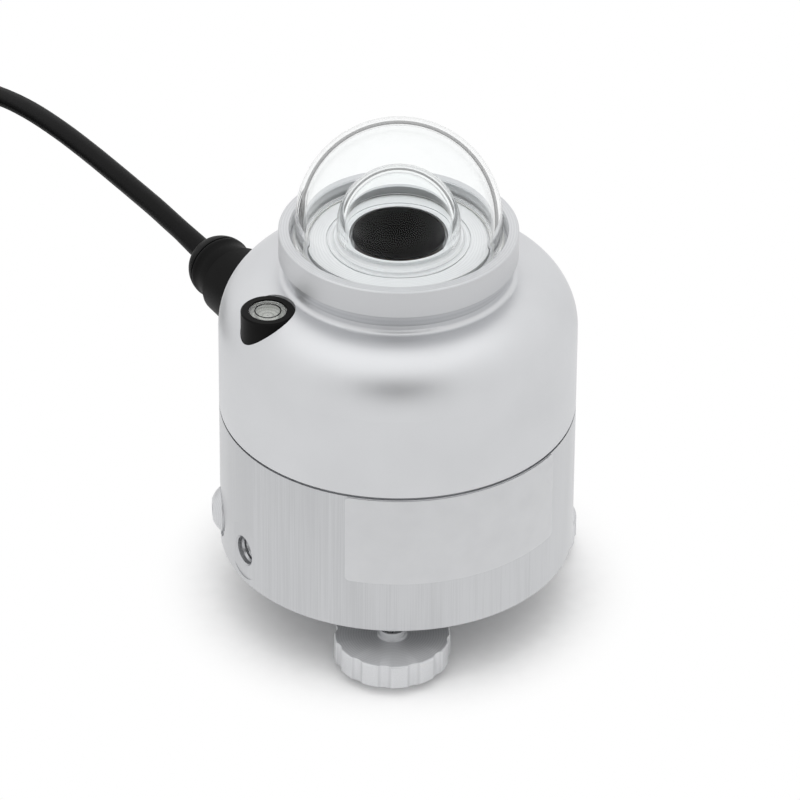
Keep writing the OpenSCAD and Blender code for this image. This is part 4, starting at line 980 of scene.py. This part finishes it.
class PYRANOMETER_OT_details(bpy.types.Operator):
    """Makes the blank film, the side hole's thread and the level's window, spirit and bubble"""
    bl_idname = "pyranometer.details"
    bl_label = "Make the small pieces"

    def execute(self, context):
        self.film()
        self.hole_thread()
        self.bubble()
        self.level_filling()
        return {"FINISHED"}

    def film(self):
        """A blank film with round corners: an upright edge swept round the base, then thickened."""
        low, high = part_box("label_film")
        film = start("plane", size=MM)
        bpy.ops.object.mode_set(mode="EDIT")
        bpy.ops.mesh.merge(type="CENTER")
        reach = BODY_R + FILM_T
        bpy.ops.transform.translate(value=(reach * math.cos(FILM_FROM), reach * math.sin(FILM_FROM), low.z))
        bpy.ops.mesh.extrude_vertices_move(TRANSFORM_OT_translate={"value": (0, 0, high.z - low.z)})
        bpy.ops.mesh.select_all(action="SELECT")
        bpy.ops.mesh.spin(steps=FILM_STEPS, angle=-FILM_SWEEP, center=(0, 0, 0), axis=(0, 0, 1))
        bpy.ops.mesh.select_all(action="SELECT")
        bpy.ops.mesh.remove_doubles(threshold=MERGE)
        bpy.ops.object.mode_set(mode="OBJECT")
        ends = (FILM_FROM, FILM_FROM + FILM_SWEEP)
        for corner in film.data.vertices:
            angle = math.atan2(corner.co.y, corner.co.x)
            corner.select = min(abs(angle - end) for end in ends) < 0.001
        for edge in film.data.edges:
            edge.select = False
        for face in film.data.polygons:
            face.select = False
        bpy.ops.object.mode_set(mode="EDIT")
        bpy.ops.mesh.select_mode(type="VERT")
        bpy.ops.mesh.bevel(affect="VERTICES", offset=FILM_CORNER, segments=5)
        bpy.ops.mesh.select_all(action="SELECT")
        bpy.ops.mesh.normals_make_consistent(inside=False)
        bpy.ops.object.mode_set(mode="OBJECT")
        wall = film.modifiers.new("wall", "SOLIDIFY")
        wall.thickness = FILM_T
        wall.offset = 0
        wall.use_even_offset = True
        apply_modifiers(film)
        settle(film, "blank_film", "label_white", "instrument", ("label_film",), None, 30)

    def hole_thread(self):
        """The ridges of the side hole's thread, as rings that stand out of its wall."""
        outline = [(HOLE_R, 0)]
        height = HOLE_FROM
        while height + HOLE_PITCH < HOLE_DEPTH:
            outline += [(HOLE_R - HOLE_SINK, height), (HOLE_CREST_R, height + 0.45 * HOLE_PITCH),
                        (HOLE_CREST_R, height + 0.55 * HOLE_PITCH), (HOLE_R - HOLE_SINK, height + HOLE_PITCH)]
            height += HOLE_PITCH
        outline += [(HOLE_R, HOLE_DEPTH), (HOLE_R, 0)]
        turn = Matrix.Rotation(HOLE_BEARING, 4, "Z") @ Matrix.Rotation(math.pi / 2, 4, "Y")
        inwards = Matrix.Translation((0, 0, HOLE_MOUTH - HOLE_DEPTH))
        place = Matrix.Translation((0, 0, HOLE_Z)) @ turn @ inwards
        settle(turned(outline, 72), "side_hole_thread", "base_finish", "instrument", (), place, 20)

    def level_filling(self):
        """The level's window and its spirit, a hair apart so that light passes them one by one."""
        for name, node, lift in (("level_window", "level_glass", WINDOW_LIFT),
                                 ("level_spirit", "level_liquid", SPIRIT_LIFT)):
            low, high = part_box(node)
            radius = (high.x - low.x) / 2 - LEVEL_PLAY
            flat = radius - LEVEL_EDGE
            foot, top = low.z + lift, high.z - LEVEL_HEADROOM
            outline = [(0, foot), (flat, foot), (radius, foot + LEVEL_EDGE), (radius, top - LEVEL_EDGE),
                       (flat, top), (0, top)]
            place = Matrix.Translation((LEVEL_PLACE.x, LEVEL_PLACE.y, 0))
            settle(turned(outline, 96), name, node, "instrument", (node,), place).visible_shadow = False

    def bubble(self):
        """The level's bubble, flat where it meets the window and round at its rim."""
        low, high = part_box("level_bubble")
        radius, half = (high.x - low.x) / 2, (high.z - low.z) / 2
        points = [(radius - half + half * math.cos(a), half * math.sin(a))
                  for a in [math.radians(90 - 180 * i / 12) for i in range(13)]]
        place = Matrix.Translation((LEVEL_PLACE.x, LEVEL_PLACE.y, (low.z + high.z) / 2 - BUBBLE_SINK))
        drop = turned([(0, half), *points, (0, -half)], 64)
        piece = settle(drop, "spirit_bubble", "level_air", "instrument", ("level_bubble",), place)
        piece.visible_shadow = False


class PYRANOMETER_PT_tools(bpy.types.Panel):
    """Lists the steps in the order that they run"""
    bl_idname = "PYRANOMETER_PT_tools"
    bl_label = "Pyranometer"
    bl_space_type = "VIEW_3D"
    bl_region_type = "UI"
    bl_category = "Pyranometer"

    def draw(self, context):
        for step in STEPS:
            self.layout.operator(step.bl_idname)
        for settings in (context.scene.pyranometer_look, context.scene.pyranometer_stage):
            box = self.layout.box()
            for name in settings.__annotations__:
                box.prop(settings, name)


STEPS = (PYRANOMETER_OT_finishes, PYRANOMETER_OT_stage, PYRANOMETER_OT_cable, PYRANOMETER_OT_domes,
         PYRANOMETER_OT_feet, PYRANOMETER_OT_connector, PYRANOMETER_OT_details)
CLASSES = (PyranometerLook, PyranometerStage, *STEPS, PYRANOMETER_PT_tools)


def register():
    for made in CLASSES:
        bpy.utils.register_class(made)
    bpy.types.Scene.pyranometer_look = bpy.props.PointerProperty(type=PyranometerLook)
    bpy.types.Scene.pyranometer_stage = bpy.props.PointerProperty(type=PyranometerStage)


def unregister():
    del bpy.types.Scene.pyranometer_stage
    del bpy.types.Scene.pyranometer_look
    for made in reversed(CLASSES):
        bpy.utils.unregister_class(made)


def main():
    register()
    for step in STEPS:
        getattr(bpy.ops.pyranometer, step.bl_idname.split(".")[1])()


if __name__ == "__main__":
    main()
